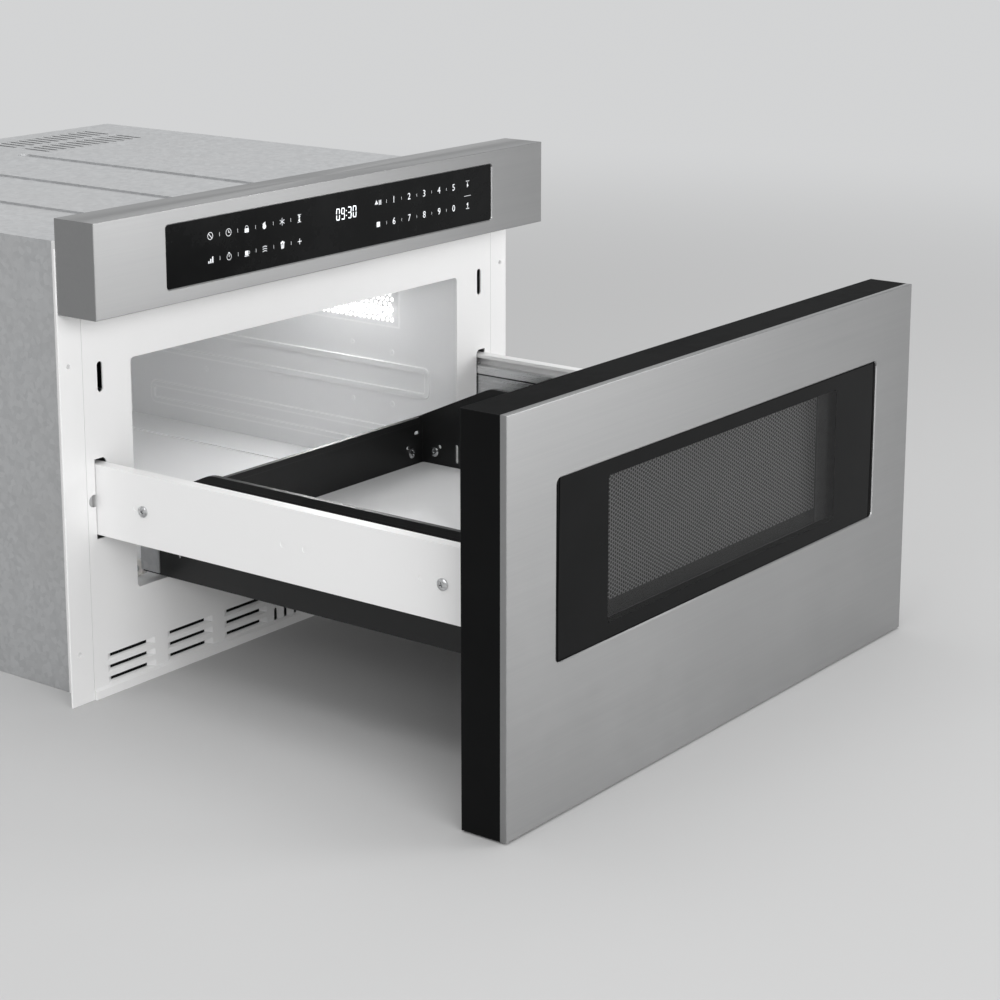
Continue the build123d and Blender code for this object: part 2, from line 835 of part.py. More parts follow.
# Floor with its middle pressed down between the two roller tracks.
with BuildPart() as cavity_floor:
    with BuildSketch(level_plane(cavity_floor_z - cavity_t)):
        span_rectangle(-half_cavity, half_cavity, frame_back_y, cavity_back_y)
    extrude(amount=cavity_t)
    recess_length = cavity_depth - 2 * floor_panel_margin
    recess_y = (frame_back_y + cavity_back_y) / 2
    with BuildSketch(level_plane(cavity_floor_z - cavity_t - floor_panel_depth)):
        with Locations((0, recess_y)):
            RectangleRounded(floor_panel_width, recess_length, opening_corner)
    extrude(amount=floor_panel_depth)
    with BuildSketch(level_plane(cavity_floor_z - floor_panel_depth)):
        with Locations((0, recess_y)):
            RectangleRounded(
                floor_panel_width - 2 * cavity_t, recess_length - 2 * cavity_t, opening_corner - cavity_t
            )
    extrude(amount=floor_panel_depth, mode=Mode.SUBTRACT)
cavity_floor.part.label = "cavity_floor"
export_step(cavity_floor.part, "parts/cavity_floor.step")

# Back wall.
with BuildPart() as cavity_back:
    with BuildSketch(front_plane(cavity_back_y)):
        span_rectangle(-half_cavity, half_cavity, wall_low_z, wall_high_z)
    extrude(amount=-cavity_t)
cavity_back.part.label = "cavity_back"
export_step(cavity_back.part, "parts/cavity_back.step")

# Ceiling with the stirrer dome and the port into the waveguide.
dome_top_z = cavity_top_z + cavity_t + dome_height
with BuildPart() as cavity_ceiling:
    with BuildSketch(level_plane(cavity_top_z)):
        span_rectangle(-half_cavity, half_cavity, frame_back_y, cavity_back_y)
    extrude(amount=cavity_t)
    with BuildSketch(level_plane(cavity_top_z)):
        with Locations((0, stirrer_y)):
            RectangleRounded(dome_size + 2 * cavity_t, dome_size + 2 * cavity_t, dome_corner + cavity_t)
    extrude(amount=dome_top_z - cavity_top_z)
    with BuildSketch(level_plane(cavity_top_z)):
        with Locations((0, stirrer_y)):
            RectangleRounded(dome_size, dome_size, dome_corner)
    extrude(amount=dome_top_z - cavity_t - cavity_top_z, mode=Mode.SUBTRACT)
    with BuildSketch(level_plane(dome_top_z - cavity_t)):
        with Locations((0, stirrer_y)):
            Circle(dome_port_r)
    extrude(amount=cavity_t, mode=Mode.SUBTRACT)
cavity_ceiling.part.label = "cavity_ceiling"
export_step(cavity_ceiling.part, "parts/cavity_ceiling.step")

# Flat cover that keeps splashes out of the dome.
with BuildPart() as stirrer_cover:
    with BuildSketch(level_plane(cavity_top_z - stirrer_cover_t)):
        with Locations((0, stirrer_y)):
            cover_size = dome_size + 2 * stirrer_cover_lap
            RectangleRounded(cover_size, cover_size, dome_corner)
    extrude(amount=stirrer_cover_t)
    chamfer(stirrer_cover.faces().sort_by(Axis.Z)[0].edges(), stirrer_cover_t / 3)
stirrer_cover.part.label = "stirrer_cover"
export_step(stirrer_cover.part, "parts/stirrer_cover.step")

# ---------------------------------------------------------------- lamp
# Housing over the outside of the perforated window, open towards the cavity.
wall_outer_x = half_cavity + cavity_t
lamp_x = wall_outer_x + lamp_box_depth / 2
lamp_box_length = lamp_window_length + 2 * lamp_rim + 2 * lamp_box_clear
lamp_box_height = lamp_window_height + 2 * lamp_rim + 2 * lamp_box_clear
lamp_end_y = lamp_y + lamp_box_length / 2
with BuildPart() as lamp_housing:
    with BuildSketch(side_plane(wall_outer_x)):
        with Locations((lamp_y, lamp_window_z)):
            Rectangle(lamp_box_length, lamp_box_height)
    extrude(amount=lamp_box_depth)
    offset(amount=-cavity_t, openings=lamp_housing.faces().sort_by(Axis.X)[0], kind=Kind.INTERSECTION)
    with BuildSketch(front_plane(lamp_end_y)):
        with Locations((lamp_x, lamp_window_z)):
            Circle(lamp_base_r + screw_clear)
    extrude(amount=cavity_t, mode=Mode.SUBTRACT)
lamp_housing.part.label = "lamp_housing"
export_step(lamp_housing.part, "parts/lamp_housing.step")

# Bulb with its base and socket, turned about a line through the housing's rear end.
with BuildPart() as oven_lamp:
    with BuildSketch(Plane((lamp_x, lamp_end_y, lamp_window_z))):
        with BuildLine():
            Polyline(
                (0, socket_length),
                (socket_r, socket_length),
                (socket_r, socket_flange_t),
                (socket_flange_r, socket_flange_t),
                (socket_flange_r, 0),
                (lamp_base_r, 0),
                (lamp_base_r, -lamp_base_length),
                (bulb_r, -lamp_base_length - bulb_neck),
                (bulb_r, -lamp_base_length - bulb_length),
            )
            RadiusArc(
                (bulb_r, -lamp_base_length - bulb_length),
                (0, -lamp_base_length - bulb_length - bulb_r),
                bulb_r,
            )
            Line((0, -lamp_base_length - bulb_length - bulb_r), (0, socket_length))
        make_face()
    revolve(axis=Axis((lamp_x, lamp_end_y, lamp_window_z), (0, 1, 0)))
oven_lamp.part.label = "oven_lamp"
export_step(oven_lamp.part, "parts/oven_lamp.step")

# ---------------------------------------------------------------- stirrer, waveguide and magnetron
guide_top_z = dome_top_z + guide_height
guide_front_y = stirrer_y - guide_width / 2
stirrer_low_z = cavity_top_z + stirrer_lift
stirrer_mid_z = stirrer_low_z + stirrer_hub_h / 2
shaft_top_z = guide_top_z + stirrer_motor_h - 2 * screw_shank_r

with BuildPart() as stirrer_vane:
    with BuildSketch(Plane.YZ.offset(stirrer_hub_r / 2)):
        Rectangle(stirrer_blade_width, stirrer_blade_t, rotation=stirrer_blade_pitch)
    extrude(amount=stirrer_r - stirrer_hub_r / 2)
with BuildPart() as stirrer:
    with BuildSketch(level_plane(stirrer_low_z)):
        with Locations((0, stirrer_y)):
            Circle(stirrer_hub_r)
    extrude(amount=stirrer_hub_h)
    with BuildSketch(level_plane(stirrer_low_z)):
        with Locations((0, stirrer_y)):
            Circle(stirrer_shaft_r)
    extrude(amount=shaft_top_z - stirrer_low_z)
    for blade in range(stirrer_blades):
        turn = Rotation(0, 0, 360 / stirrer_blades * blade)
        add(Pos(0, stirrer_y, stirrer_mid_z) * turn * stirrer_vane.part)
stirrer.part.label = "stirrer"
export_step(stirrer.part, "parts/stirrer.step")

# Waveguide: a level duct over the dome that turns up into a launcher beside the magnetron.
guide_outline = [
    (-guide_left, dome_top_z),
    (guide_right, dome_top_z),
    (guide_right, launcher_top_z),
    (guide_right - launcher_length, launcher_top_z),
    (guide_right - launcher_length, guide_top_z),
    (-guide_left, guide_top_z),
]
with BuildPart() as waveguide:
    with BuildSketch(front_plane(guide_front_y)):
        with BuildLine():
            Polyline(*guide_outline, close=True)
        make_face()
    extrude(amount=-guide_width)
    with BuildSketch(front_plane(guide_front_y + guide_t)):
        with BuildLine():
            Polyline(*guide_outline, close=True)
        make_face()
        offset(amount=-guide_t, kind=Kind.INTERSECTION, mode=Mode.REPLACE)
    extrude(amount=-(guide_width - 2 * guide_t), mode=Mode.SUBTRACT)
    with BuildSketch(level_plane(dome_top_z)):
        with Locations((0, stirrer_y)):
            Circle(dome_port_r)
    extrude(amount=guide_height, mode=Mode.SUBTRACT)
    with BuildSketch(side_plane(guide_right)):
        with Locations((stirrer_y, magnetron_z)):
            Circle(antenna_r + screw_clear)
    extrude(amount=-guide_t, mode=Mode.SUBTRACT)
waveguide.part.label = "waveguide"
export_step(waveguide.part, "parts/waveguide.step")

# Stirrer motor on top of the waveguide.
with BuildPart() as stirrer_motor:
    with BuildSketch(level_plane(guide_top_z)):
        with Locations((0, stirrer_y)):
            Circle(stirrer_motor_r)
            SlotOverall(2 * stirrer_motor_r + 2 * stirrer_motor_ear, stirrer_motor_ear)
    extrude(amount=guide_t)
    with BuildSketch(level_plane(guide_top_z)):
        with Locations((0, stirrer_y)):
            Circle(stirrer_motor_r)
    extrude(amount=stirrer_motor_h)
    fillet(stirrer_motor.faces().sort_by(Axis.Z)[-1].edges(), guide_t)
    with BuildSketch(level_plane(guide_top_z)):
        with Locations((0, stirrer_y)):
            Circle(stirrer_shaft_r + running_clear)
    extrude(amount=stirrer_motor_h - screw_shank_r, mode=Mode.SUBTRACT)
stirrer_motor.part.label = "stirrer_motor"
export_step(stirrer_motor.part, "parts/stirrer_motor.step")

# Magnetron: a yoke open at front and rear, two ring magnets, the anode with its fins, and the antenna.
yoke_x = guide_right + magnetron_seat
fin_x = yoke_x + magnetron_length / 2
with BuildPart() as magnetron:
    with BuildSketch(front_plane(stirrer_y - magnetron_width / 2)):
        with Locations((fin_x, magnetron_z)):
            Rectangle(magnetron_length, magnetron_height)
            Rectangle(
                magnetron_length - 2 * magnetron_yoke_t,
                magnetron_height - 2 * magnetron_yoke_t,
                mode=Mode.SUBTRACT,
            )
    extrude(amount=-magnetron_width)
    with BuildSketch(side_plane(yoke_x)):
        with Locations((stirrer_y, magnetron_z)):
            Circle(anode_r)
    extrude(amount=magnetron_length)
    for magnet_x in (yoke_x, yoke_x + magnetron_length - magnet_t):
        with BuildSketch(side_plane(magnet_x)):
            with Locations((stirrer_y, magnetron_z)):
                Circle(magnet_r)
        extrude(amount=magnet_t)
    for fin in range(fin_count):
        with BuildSketch(side_plane(fin_x + (fin - (fin_count - 1) / 2) * fin_pitch - fin_t / 2)):
            with Locations((stirrer_y, magnetron_z)):
                Rectangle(fin_width, magnetron_height - 2 * magnetron_yoke_t)
        extrude(amount=fin_t)
    with BuildSketch(side_plane(guide_right)):
        with Locations((stirrer_y, magnetron_z)):
            Circle(antenna_seat_r)
    extrude(amount=magnetron_seat)
    with BuildSketch(side_plane(guide_right)):
        with Locations((stirrer_y, magnetron_z)):
            Circle(antenna_r)
    extrude(amount=-antenna_length)
    fillet(magnetron.faces().sort_by(Axis.X)[0].edges(), antenna_r / 2)
magnetron.part.label = "magnetron"
export_step(magnetron.part, "parts/magnetron.step")

# ---------------------------------------------------------------- cooling fan
fan_back_y = side_rear_y
fan_front_y = fan_back_y - fan_shroud_depth
fan_bore_r = fan_r + fan_tip_gap
with BuildPart() as fan_shroud:
    with BuildSketch(front_plane(fan_front_y)):
        with Locations((fan_x, fan_z)):
            RectangleRounded(fan_shroud_size, fan_shroud_size, dome_corner)
            Circle(fan_bore_r, mode=Mode.SUBTRACT)
    extrude(amount=-fan_shroud_depth)
    with BuildSketch(front_plane(fan_front_y)):
        with Locations((fan_x, fan_z)):
            with PolarLocations(fan_bore_r / 2, fan_strut_count, start_angle=90):
                Rectangle(fan_bore_r + 2 * fan_strut_overlap, fan_strut_width)
    extrude(amount=-fan_strut_t)
    with BuildSketch(front_plane(fan_front_y - fan_motor_length + fan_strut_t)):
        with Locations((fan_x, fan_z)):
            Circle(fan_motor_r)
    extrude(amount=-fan_motor_length)
    fillet(fan_shroud.faces().sort_by(Axis.Y)[0].edges(), fan_strut_t)
    with BuildSketch(front_plane(fan_front_y + fan_strut_t)):
        with Locations((fan_x, fan_z)):
            Circle(fan_shaft_r + running_clear)
    extrude(amount=fan_shaft_length + fan_hub_gap, mode=Mode.SUBTRACT)
fan_shroud.part.label = "fan_shroud"
export_step(fan_shroud.part, "parts/fan_shroud.step")

# One fan blade, lofted from a steep root to a flatter tip; it stands along X from the fan's own centre.
hub_front_y = fan_front_y + fan_strut_t + fan_hub_gap
with BuildPart() as fan_blade:
    with BuildSketch(Plane.YZ.offset(fan_hub_r - fan_blade_t)):
        Rectangle(fan_chord * fan_hub_depth / (fan_chord + fan_hub_gap), fan_blade_t, rotation=fan_root_pitch)
    with BuildSketch(Plane.YZ.offset(fan_r)):
        Rectangle(fan_chord, fan_blade_t, rotation=fan_tip_pitch)
    loft()
with BuildPart() as fan_impeller:
    with BuildSketch(front_plane(hub_front_y)):
        with Locations((fan_x, fan_z)):
            Circle(fan_hub_r)
    extrude(amount=-fan_hub_depth)
    fillet(fan_impeller.faces().sort_by(Axis.Y)[-1].edges(), fan_blade_t)
    with BuildSketch(front_plane(hub_front_y)):
        with Locations((fan_x, fan_z)):
            Circle(fan_shaft_r)
    extrude(amount=fan_shaft_length)
    for blade in range(fan_blades):
        turn = Rotation(0, 360 / fan_blades * blade, 0)
        add(Pos(fan_x, hub_front_y + fan_hub_depth / 2, fan_z) * turn * fan_blade.part)
fan_impeller.part.label = "fan_impeller"
export_step(fan_impeller.part, "parts/fan_impeller.step")

# ---------------------------------------------------------------- transformer and cord bush
core_x, core_y, core_z = core_size
coil_x, coil_y, coil_z = coil_size
foot_x, foot_y, foot_z = core_foot
core_low_z = panel_t + foot_z
with BuildPart() as hv_transformer:
    with BuildSketch(level_plane(panel_t)):
        with Locations((transformer_x, transformer_y)):
            Rectangle(foot_x, foot_y)
            with GridLocations(foot_x - (foot_x - core_x) / 2, foot_y / 2, 2, 2):
                Circle(screw_shank_r, mode=Mode.SUBTRACT)
    extrude(amount=foot_z)
    with BuildSketch(level_plane(core_low_z)):
        with Locations((transformer_x, transformer_y)):
            Rectangle(core_x, core_y)
    extrude(amount=core_z)
    chamfer(hv_transformer.faces().sort_by(Axis.Z)[-1].edges(), foot_z)
    with BuildSketch(level_plane(core_low_z + (core_z - coil_z) / 2)):
        with Locations((transformer_x, transformer_y)):
            RectangleRounded(coil_x, coil_y, coil_corner)
    extrude(amount=coil_z)
hv_transformer.part.label = "hv_transformer"
export_step(hv_transformer.part, "parts/hv_transformer.step")

with BuildPart() as cord_gland:
    with BuildSketch(Plane((gland_x, side_rear_y, gland_z))):
        with BuildLine():
            Polyline(
                (cord_r, -gland_nut_t),
                (gland_nut_r, -gland_nut_t),
                (gland_nut_r, 0),
                (gland_r, 0),
                (gland_r, panel_t),
                (gland_flange_r, panel_t),
                (gland_flange_r, panel_t + gland_flange_t),
                (gland_nose_r, panel_t + gland_flange_t),
                (gland_r, panel_t + gland_flange_t + gland_nose_length),
                (cord_r, panel_t + gland_flange_t + gland_nose_length),
                close=True,
            )
        make_face()
    revolve(axis=Axis((gland_x, side_rear_y, gland_z), (0, 1, 0)))
cord_gland.part.label = "cord_gland"
export_step(cord_gland.part, "parts/cord_gland.step")

# ---------------------------------------------------------------- rails and slides
# Upright bracket that carries the fixed slide member, with lightening windows, a foot and a top flange.
bracket_x = slide_x - bracket_t
bracket_top_z = rail_z + half_slide + bracket_over_slide
bracket_front_end_y = frame_back_y + bracket_setback
bracket_mid_y = bracket_front_end_y + bracket_length / 2
with BuildPart() as rail_bracket:
    with BuildSketch(side_plane(bracket_x)):
        span_rectangle(bracket_front_end_y, bracket_front_end_y + bracket_length, panel_t, bracket_top_z)
        with Locations((bracket_mid_y, bracket_window_z)):
            with GridLocations(bracket_window_pitch, 1, bracket_window_count, 1):
                RectangleRounded(*bracket_window, opening_corner, mode=Mode.SUBTRACT)
    extrude(amount=bracket_t)
    for flange_z in (panel_t, bracket_top_z - bracket_t):
        with BuildSketch(level_plane(flange_z)):
            span_rectangle(
                bracket_x - bracket_foot, bracket_x, bracket_front_end_y, bracket_front_end_y + bracket_length
            )
        extrude(amount=bracket_t)
write_pair(rail_bracket.part, "rail_bracket")

# Fixed slide member: a channel whose lips trap the middle member.
with BuildPart() as slide_outer:
    with BuildSketch(front_plane(slide_y)):
        with BuildLine():
            Polyline(*channel_points(slide_x, slide_x + slide_outer_reach, half_slide, slide_t), close=True)
        make_face()
        lip_z = half_slide - slide_t
        lip_x = slide_x + slide_outer_reach
        span_rectangle(lip_x - slide_t, lip_x, rail_z + lip_z - slide_lip, rail_z + lip_z)
        span_rectangle(lip_x - slide_t, lip_x, rail_z - lip_z, rail_z - lip_z + slide_lip)
    extrude(amount=-slide_length)
write_pair(slide_outer.part, "slide_outer")

# Middle slide member: its web steps out between the two ball races.
middle_x = slide_x + slide_t + slide_gap
middle_toe_x = slide_x + slide_middle_reach
web_low_z = rail_z - half_middle + race_height
web_high_z = rail_z + half_middle - race_height
with BuildPart() as slide_middle:
    with BuildSketch(front_plane(slide_middle_y)):
        with BuildLine():
            Polyline(*channel_points(middle_x, middle_toe_x, half_middle, slide_t), close=True)
        make_face()
        span_rectangle(middle_x + slide_t, middle_x + slide_t + race_step, web_low_z, web_high_z)
        span_rectangle(middle_x, middle_x + race_step, web_low_z, web_high_z, Mode.SUBTRACT)
    extrude(amount=-slide_length)
write_pair(slide_middle.part, "slide_middle")

# Inner slide member, screwed to the rail cover.
inner_toe_x = rail_web_x - slide_inner_reach
with BuildPart() as slide_inner:
    with BuildSketch(front_plane(slide_open_y)):
        with BuildLine():
            Polyline(*channel_points(rail_web_x, inner_toe_x, half_inner, slide_t), close=True)
        make_face()
    extrude(amount=-slide_length)
    with BuildSketch(side_plane(rail_web_x)):
        with Locations([(y, rail_screw_z) for y in rail_screw_ys]):
            Circle(screw_shank_r + screw_clear)
    extrude(amount=-slide_t, mode=Mode.SUBTRACT)
write_pair(slide_inner.part, "slide_inner")

# Rail cover: a white channel over the slide, with a lip, a front tab, dimples and screw holes.
cover_half = rail_cover_height / 2
cover_toe_x = rail_cover_x - rail_cover_width
cover_length = slide_open_y + slide_length - door_back_y
cover_low_z = rail_z - cover_half + rail_cover_t
cover_high_z = rail_z + cover_half - rail_cover_t
with BuildPart() as rail_cover:
    with BuildSketch(front_plane(door_back_y)):
        with BuildLine():
            Polyline(*channel_points(rail_cover_x, cover_toe_x, cover_half, rail_cover_t), close=True)
        make_face()
        span_rectangle(cover_toe_x, cover_toe_x + rail_cover_t, cover_high_z - rail_cover_lip, cover_high_z)
    extrude(amount=-cover_length)
    with BuildSketch(front_plane(door_back_y)):
        span_rectangle(cover_toe_x, rail_web_x, cover_low_z, cover_high_z)
    extrude(amount=-rail_cover_t)
    with BuildSketch(side_plane(rail_cover_x)):
        with Locations([(y, rail_screw_z) for y in rail_screw_ys]):
            Circle(screw_shank_r + screw_clear)
    extrude(amount=-rail_cover_t, mode=Mode.SUBTRACT)
    with BuildSketch(side_plane(rail_cover_x)):
        with Locations([(door_back_y + setback, rail_z) for setback in dimple_setbacks]):
            Circle(dimple_r)
    extrude(amount=-dimple_depth, mode=Mode.SUBTRACT)
write_pair(rail_cover.part, "rail_cover")

# ---------------------------------------------------------------- drawer box
# Side wall: a sheet whose top edge falls in a ramp at the rear, with a rolled rim and a front tab.
ramp_y = drawer_rear_y - ramp_length
side_hole_y = drawer_rear_y - side_hole_inset
side_screw_y = drawer_rear_y - side_screw_inset
side_slot_y = drawer_rear_y - side_slot_inset
wall_outline = [
    (door_back_y, drawer_bottom_z),
    (door_back_y, drawer_top_z),
    (ramp_y, drawer_top_z),
    (drawer_rear_y, back_wall_top_z),
    (drawer_rear_y, drawer_bottom_z),
]
with BuildPart() as drawer_side:
    with BuildSketch(side_plane(inner_drawer)):
        with BuildLine():
            Polyline(*wall_outline, close=True)
        make_face()
        fillet(vertices().sort_by_distance((ramp_y, drawer_top_z))[0], ramp_shoulder_r)
    extrude(amount=drawer_wall_t + rim_t)
    # Only the rim stands proud: a band that follows the top edge, hollow behind its own sheet.
    with BuildSketch(side_plane(half_drawer)):
        with BuildLine():
            Polyline(*wall_outline, close=True)
        make_face()
        fillet(vertices().sort_by_distance((ramp_y, drawer_top_z))[0], ramp_shoulder_r)
        offset(amount=-rim_height, kind=Kind.INTERSECTION, mode=Mode.REPLACE)
        span_rectangle(door_back_y, drawer_rear_y, drawer_bottom_z, back_wall_top_z - 2 * rim_height)
        span_rectangle(door_back_y, door_back_y + rim_height, drawer_bottom_z, drawer_top_z - rim_height)
    extrude(amount=rim_t, mode=Mode.SUBTRACT)
    with BuildSketch(side_plane(half_drawer)):
        with BuildLine():
            Polyline(*wall_outline, close=True)
        make_face()
        fillet(vertices().sort_by_distance((ramp_y, drawer_top_z))[0], ramp_shoulder_r)
        offset(amount=-drawer_wall_t, kind=Kind.INTERSECTION, mode=Mode.REPLACE)
    extrude(amount=rim_t - drawer_wall_t, mode=Mode.SUBTRACT)
    with BuildSketch(front_plane(door_back_y)):
        span_rectangle(
            half_drawer,
            half_drawer + front_tab,
            drawer_bottom_z + front_tab_margin,
            drawer_top_z - front_tab_margin,
        )
    extrude(amount=-drawer_wall_t)
    with BuildSketch(side_plane(inner_drawer)):
        with Locations((side_hole_y, side_hole_z)):
            Circle(box_hole_r)
        with Locations((side_screw_y, side_screw_z)):
            Circle(screw_shank_r + screw_clear)
        with Locations((side_slot_y, side_slot_z)):
            SlotOverall(*side_slot, rotation=90)
    extrude(amount=drawer_wall_t, mode=Mode.SUBTRACT)
write_pair(drawer_side.part, "drawer_side")

# Back wall with a hem along its top edge that stops short of the corners.
with BuildPart() as drawer_back:
    with BuildSketch(front_plane(back_wall_y)):
        span_rectangle(-inner_drawer, inner_drawer, drawer_bottom_z, back_wall_top_z)
        with Locations((-back_hole_x, back_hole_z), (back_hole_x, back_hole_z)):
            Circle(box_hole_r, mode=Mode.SUBTRACT)
        with Locations((-back_screw_x, back_screw_z), (back_screw_x, back_screw_z)):
            Circle(screw_shank_r + screw_clear, mode=Mode.SUBTRACT)
        with Locations((-back_oval_x, back_oval_z), (back_oval_x, back_oval_z)):
            SlotOverall(*back_oval, mode=Mode.SUBTRACT)
    extrude(amount=-drawer_wall_t)
    with BuildSketch(front_plane(back_wall_y - rim_t)):
        hem_half = inner_drawer - rim_notch
        span_rectangle(-hem_half, hem_half, back_wall_top_z - drawer_wall_t, back_wall_top_z)
    extrude(amount=-rim_t)
    with BuildSketch(front_plane(back_wall_y - rim_t)):
        span_rectangle(-hem_half, hem_half, back_wall_top_z - rim_height, back_wall_top_z)
    extrude(amount=-drawer_wall_t)
drawer_back.part.label = "drawer_back"
export_step(drawer_back.part, "parts/drawer_back.step")

# Floor pan with a ledge all round that carries the plate.
plate_low_z = plate_top_z - plate_t
with BuildPart() as drawer_floor_pan:
    with BuildSketch(level_plane(drawer_bottom_z)):
        span_rectangle(-inner_drawer, inner_drawer, door_back_y, back_wall_y)
    extrude(amount=plate_low_z - drawer_bottom_z)
    offset(
        amount=-drawer_wall_t, openings=drawer_floor_pan.faces().sort_by(Axis.Z)[-1], kind=Kind.INTERSECTION
    )
    with BuildSketch(level_plane(plate_low_z)):
        span_rectangle(-inner_drawer, inner_drawer, door_back_y, back_wall_y)
        offset(amount=-ledge_width, kind=Kind.INTERSECTION, mode=Mode.SUBTRACT)
    extrude(amount=-drawer_wall_t)
drawer_floor_pan.part.label = "drawer_floor_pan"
export_step(drawer_floor_pan.part, "parts/drawer_floor_pan.step")

# Glass-ceramic plate.
with BuildPart() as glass_floor_plate:
    with BuildSketch(level_plane(plate_low_z)):
        with Locations((0, (door_back_y + back_wall_y) / 2)):
            RectangleRounded(
                2 * inner_drawer - 2 * plate_clear, back_wall_y - door_back_y - 2 * plate_clear, plate_corner
            )
    extrude(amount=plate_t)
    fillet(glass_floor_plate.faces().sort_by(Axis.Z)[-1].edges(), plate_clear)
glass_floor_plate.part.label = "glass_floor_plate"
export_step(glass_floor_plate.part, "parts/glass_floor_plate.step")

# Corner bracket: one leg behind the back wall, one beside the side wall, and an arm with the roller's pin.
roller_y = drawer_rear_y + roller_behind
roller_z = cavity_floor_z + roller_float + roller_r
roller_inner_x = roller_outer_x - roller_width
arm_x = roller_inner_x - roller_side_gap - bracket_t
with BuildPart() as corner_bracket:
    with BuildSketch(front_plane(drawer_rear_y)):
        span_rectangle(corner_leg_x, half_drawer + bracket_t, corner_leg_low_z, corner_leg_high_z)
        with Locations((back_screw_x, back_screw_z)):
            Circle(screw_shank_r + screw_clear, mode=Mode.SUBTRACT)
    extrude(amount=-bracket_t)
    with BuildSketch(side_plane(half_drawer)):
        span_rectangle(
            drawer_rear_y - corner_side_leg, drawer_rear_y + bracket_t, corner_leg_low_z, corner_leg_high_z
        )
        with Locations((side_screw_y, side_screw_z)):
            Circle(screw_shank_r + screw_clear, mode=Mode.SUBTRACT)
    extrude(amount=bracket_t)
    with BuildSketch(side_plane(arm_x)):
        with BuildLine():
            Polyline(
                (drawer_rear_y + bracket_t, corner_leg_low_z),
                (roller_y - roller_arm_margin, roller_z - roller_arm_margin),
                (roller_y + roller_arm_margin, roller_z - roller_arm_margin),
                (roller_y + roller_arm_margin, roller_z + roller_arm_margin),
                (drawer_rear_y + bracket_t, corner_leg_low_z + 2 * roller_arm_margin),
                (drawer_rear_y, corner_leg_low_z + 2 * roller_arm_margin),
                (drawer_rear_y, corner_leg_low_z),
                close=True,
            )
        make_face()
    extrude(amount=bracket_t)
    with BuildSketch(side_plane(arm_x)):
        with Locations((roller_y, roller_z)):
            Circle(roller_pin_r)
    extrude(amount=roller_outer_x + roller_side_gap + roller_clip_t - arm_x)
    with BuildSketch(side_plane(roller_outer_x + roller_side_gap)):
        with Locations((roller_y, roller_z)):
            Circle(roller_pin_r + roller_clip_t)
    extrude(amount=roller_clip_t)
with BuildPart() as corner_brackets:
    add(corner_bracket.part)
    mirror(about=Plane.YZ)
corner_brackets.part.label = "corner_brackets"
export_step(corner_brackets.part, "parts/corner_brackets.step")

# Roller on the pin, 0.3 mm over the cavity floor.
with BuildPart() as guide_roller:
    with BuildSketch(side_plane(roller_inner_x)):
        with Locations((roller_y, roller_z)):
            Circle(roller_r)
    extrude(amount=roller_width)
    chamfer(guide_roller.edges(), roller_clip_t / 2)
    with BuildSketch(side_plane(roller_inner_x)):
        with Locations((roller_y, roller_z)):
            Circle(roller_pin_r + roller_clear)
    extrude(amount=roller_width, mode=Mode.SUBTRACT)
write_pair(guide_roller.part, "guide_roller")

# Eight equal screws: two through each rail cover, two in each rear corner of the box.
with BuildPart() as screw:
    with BuildSketch(level_plane(0)):
        Circle(screw_head_r)
    extrude(amount=screw_head_h)
    chamfer(screw.faces().sort_by(Axis.Z)[-1].edges(), screw_head_h / 3)
    with BuildSketch(level_plane(0)):
        Circle(screw_shank_r)
    extrude(amount=-screw_shank_length)
screw_places = []
for side in (-1, 1):
    for screw_y in rail_screw_ys:
        screw_places.append(Location((side * rail_cover_x, screw_y, rail_screw_z), (0, 90 * side, 0)))
    screw_places.append(Location((side * back_screw_x, back_wall_y, back_screw_z), (90, 0, 0)))
    screw_places.append(Location((side * inner_drawer, side_screw_y, side_screw_z), (0, -90 * side, 0)))
with BuildPart() as drawer_screws:
    with Locations(*screw_places):
        add(screw.part)
drawer_screws.part.label = "drawer_screws"
export_step(drawer_screws.part, "parts/drawer_screws.step")

# ---------------------------------------------------------------- drawer front
window_glass_y = door_front_y + door_skin_t
window_glass_back_y = window_glass_y + window_glass_t
seam_y = door_front_y + door_seam
choke_z = opening_z + opening_height / 2
choke_back_y = door_back_y - door_wall

# Brushed skin with short returns and the bevelled window.
with BuildPart() as door_skin:
    with BuildSketch(front_plane(door_front_y)):
        with Locations((0, door_z)):
            Rectangle(front_width, door_height)
    extrude(amount=-door_seam)
    offset(amount=-door_skin_t, openings=door_skin.faces().sort_by(Axis.Y)[-1], kind=Kind.INTERSECTION)
    fillet(door_skin.faces().sort_by(Axis.Y)[0].edges(), door_skin_t / 2)
    with BuildSketch(front_plane(door_front_y)):
        with Locations((0, window_z)):
            RectangleRounded(window_width, window_height, window_corner)
    extrude(amount=-door_skin_t, mode=Mode.SUBTRACT)
    chamfer(door_skin.faces().sort_by(Axis.Y)[0].inner_wires()[0].edges(), window_bevel)
door_skin.part.label = "door_skin"
export_step(door_skin.part, "parts/door_skin.step")

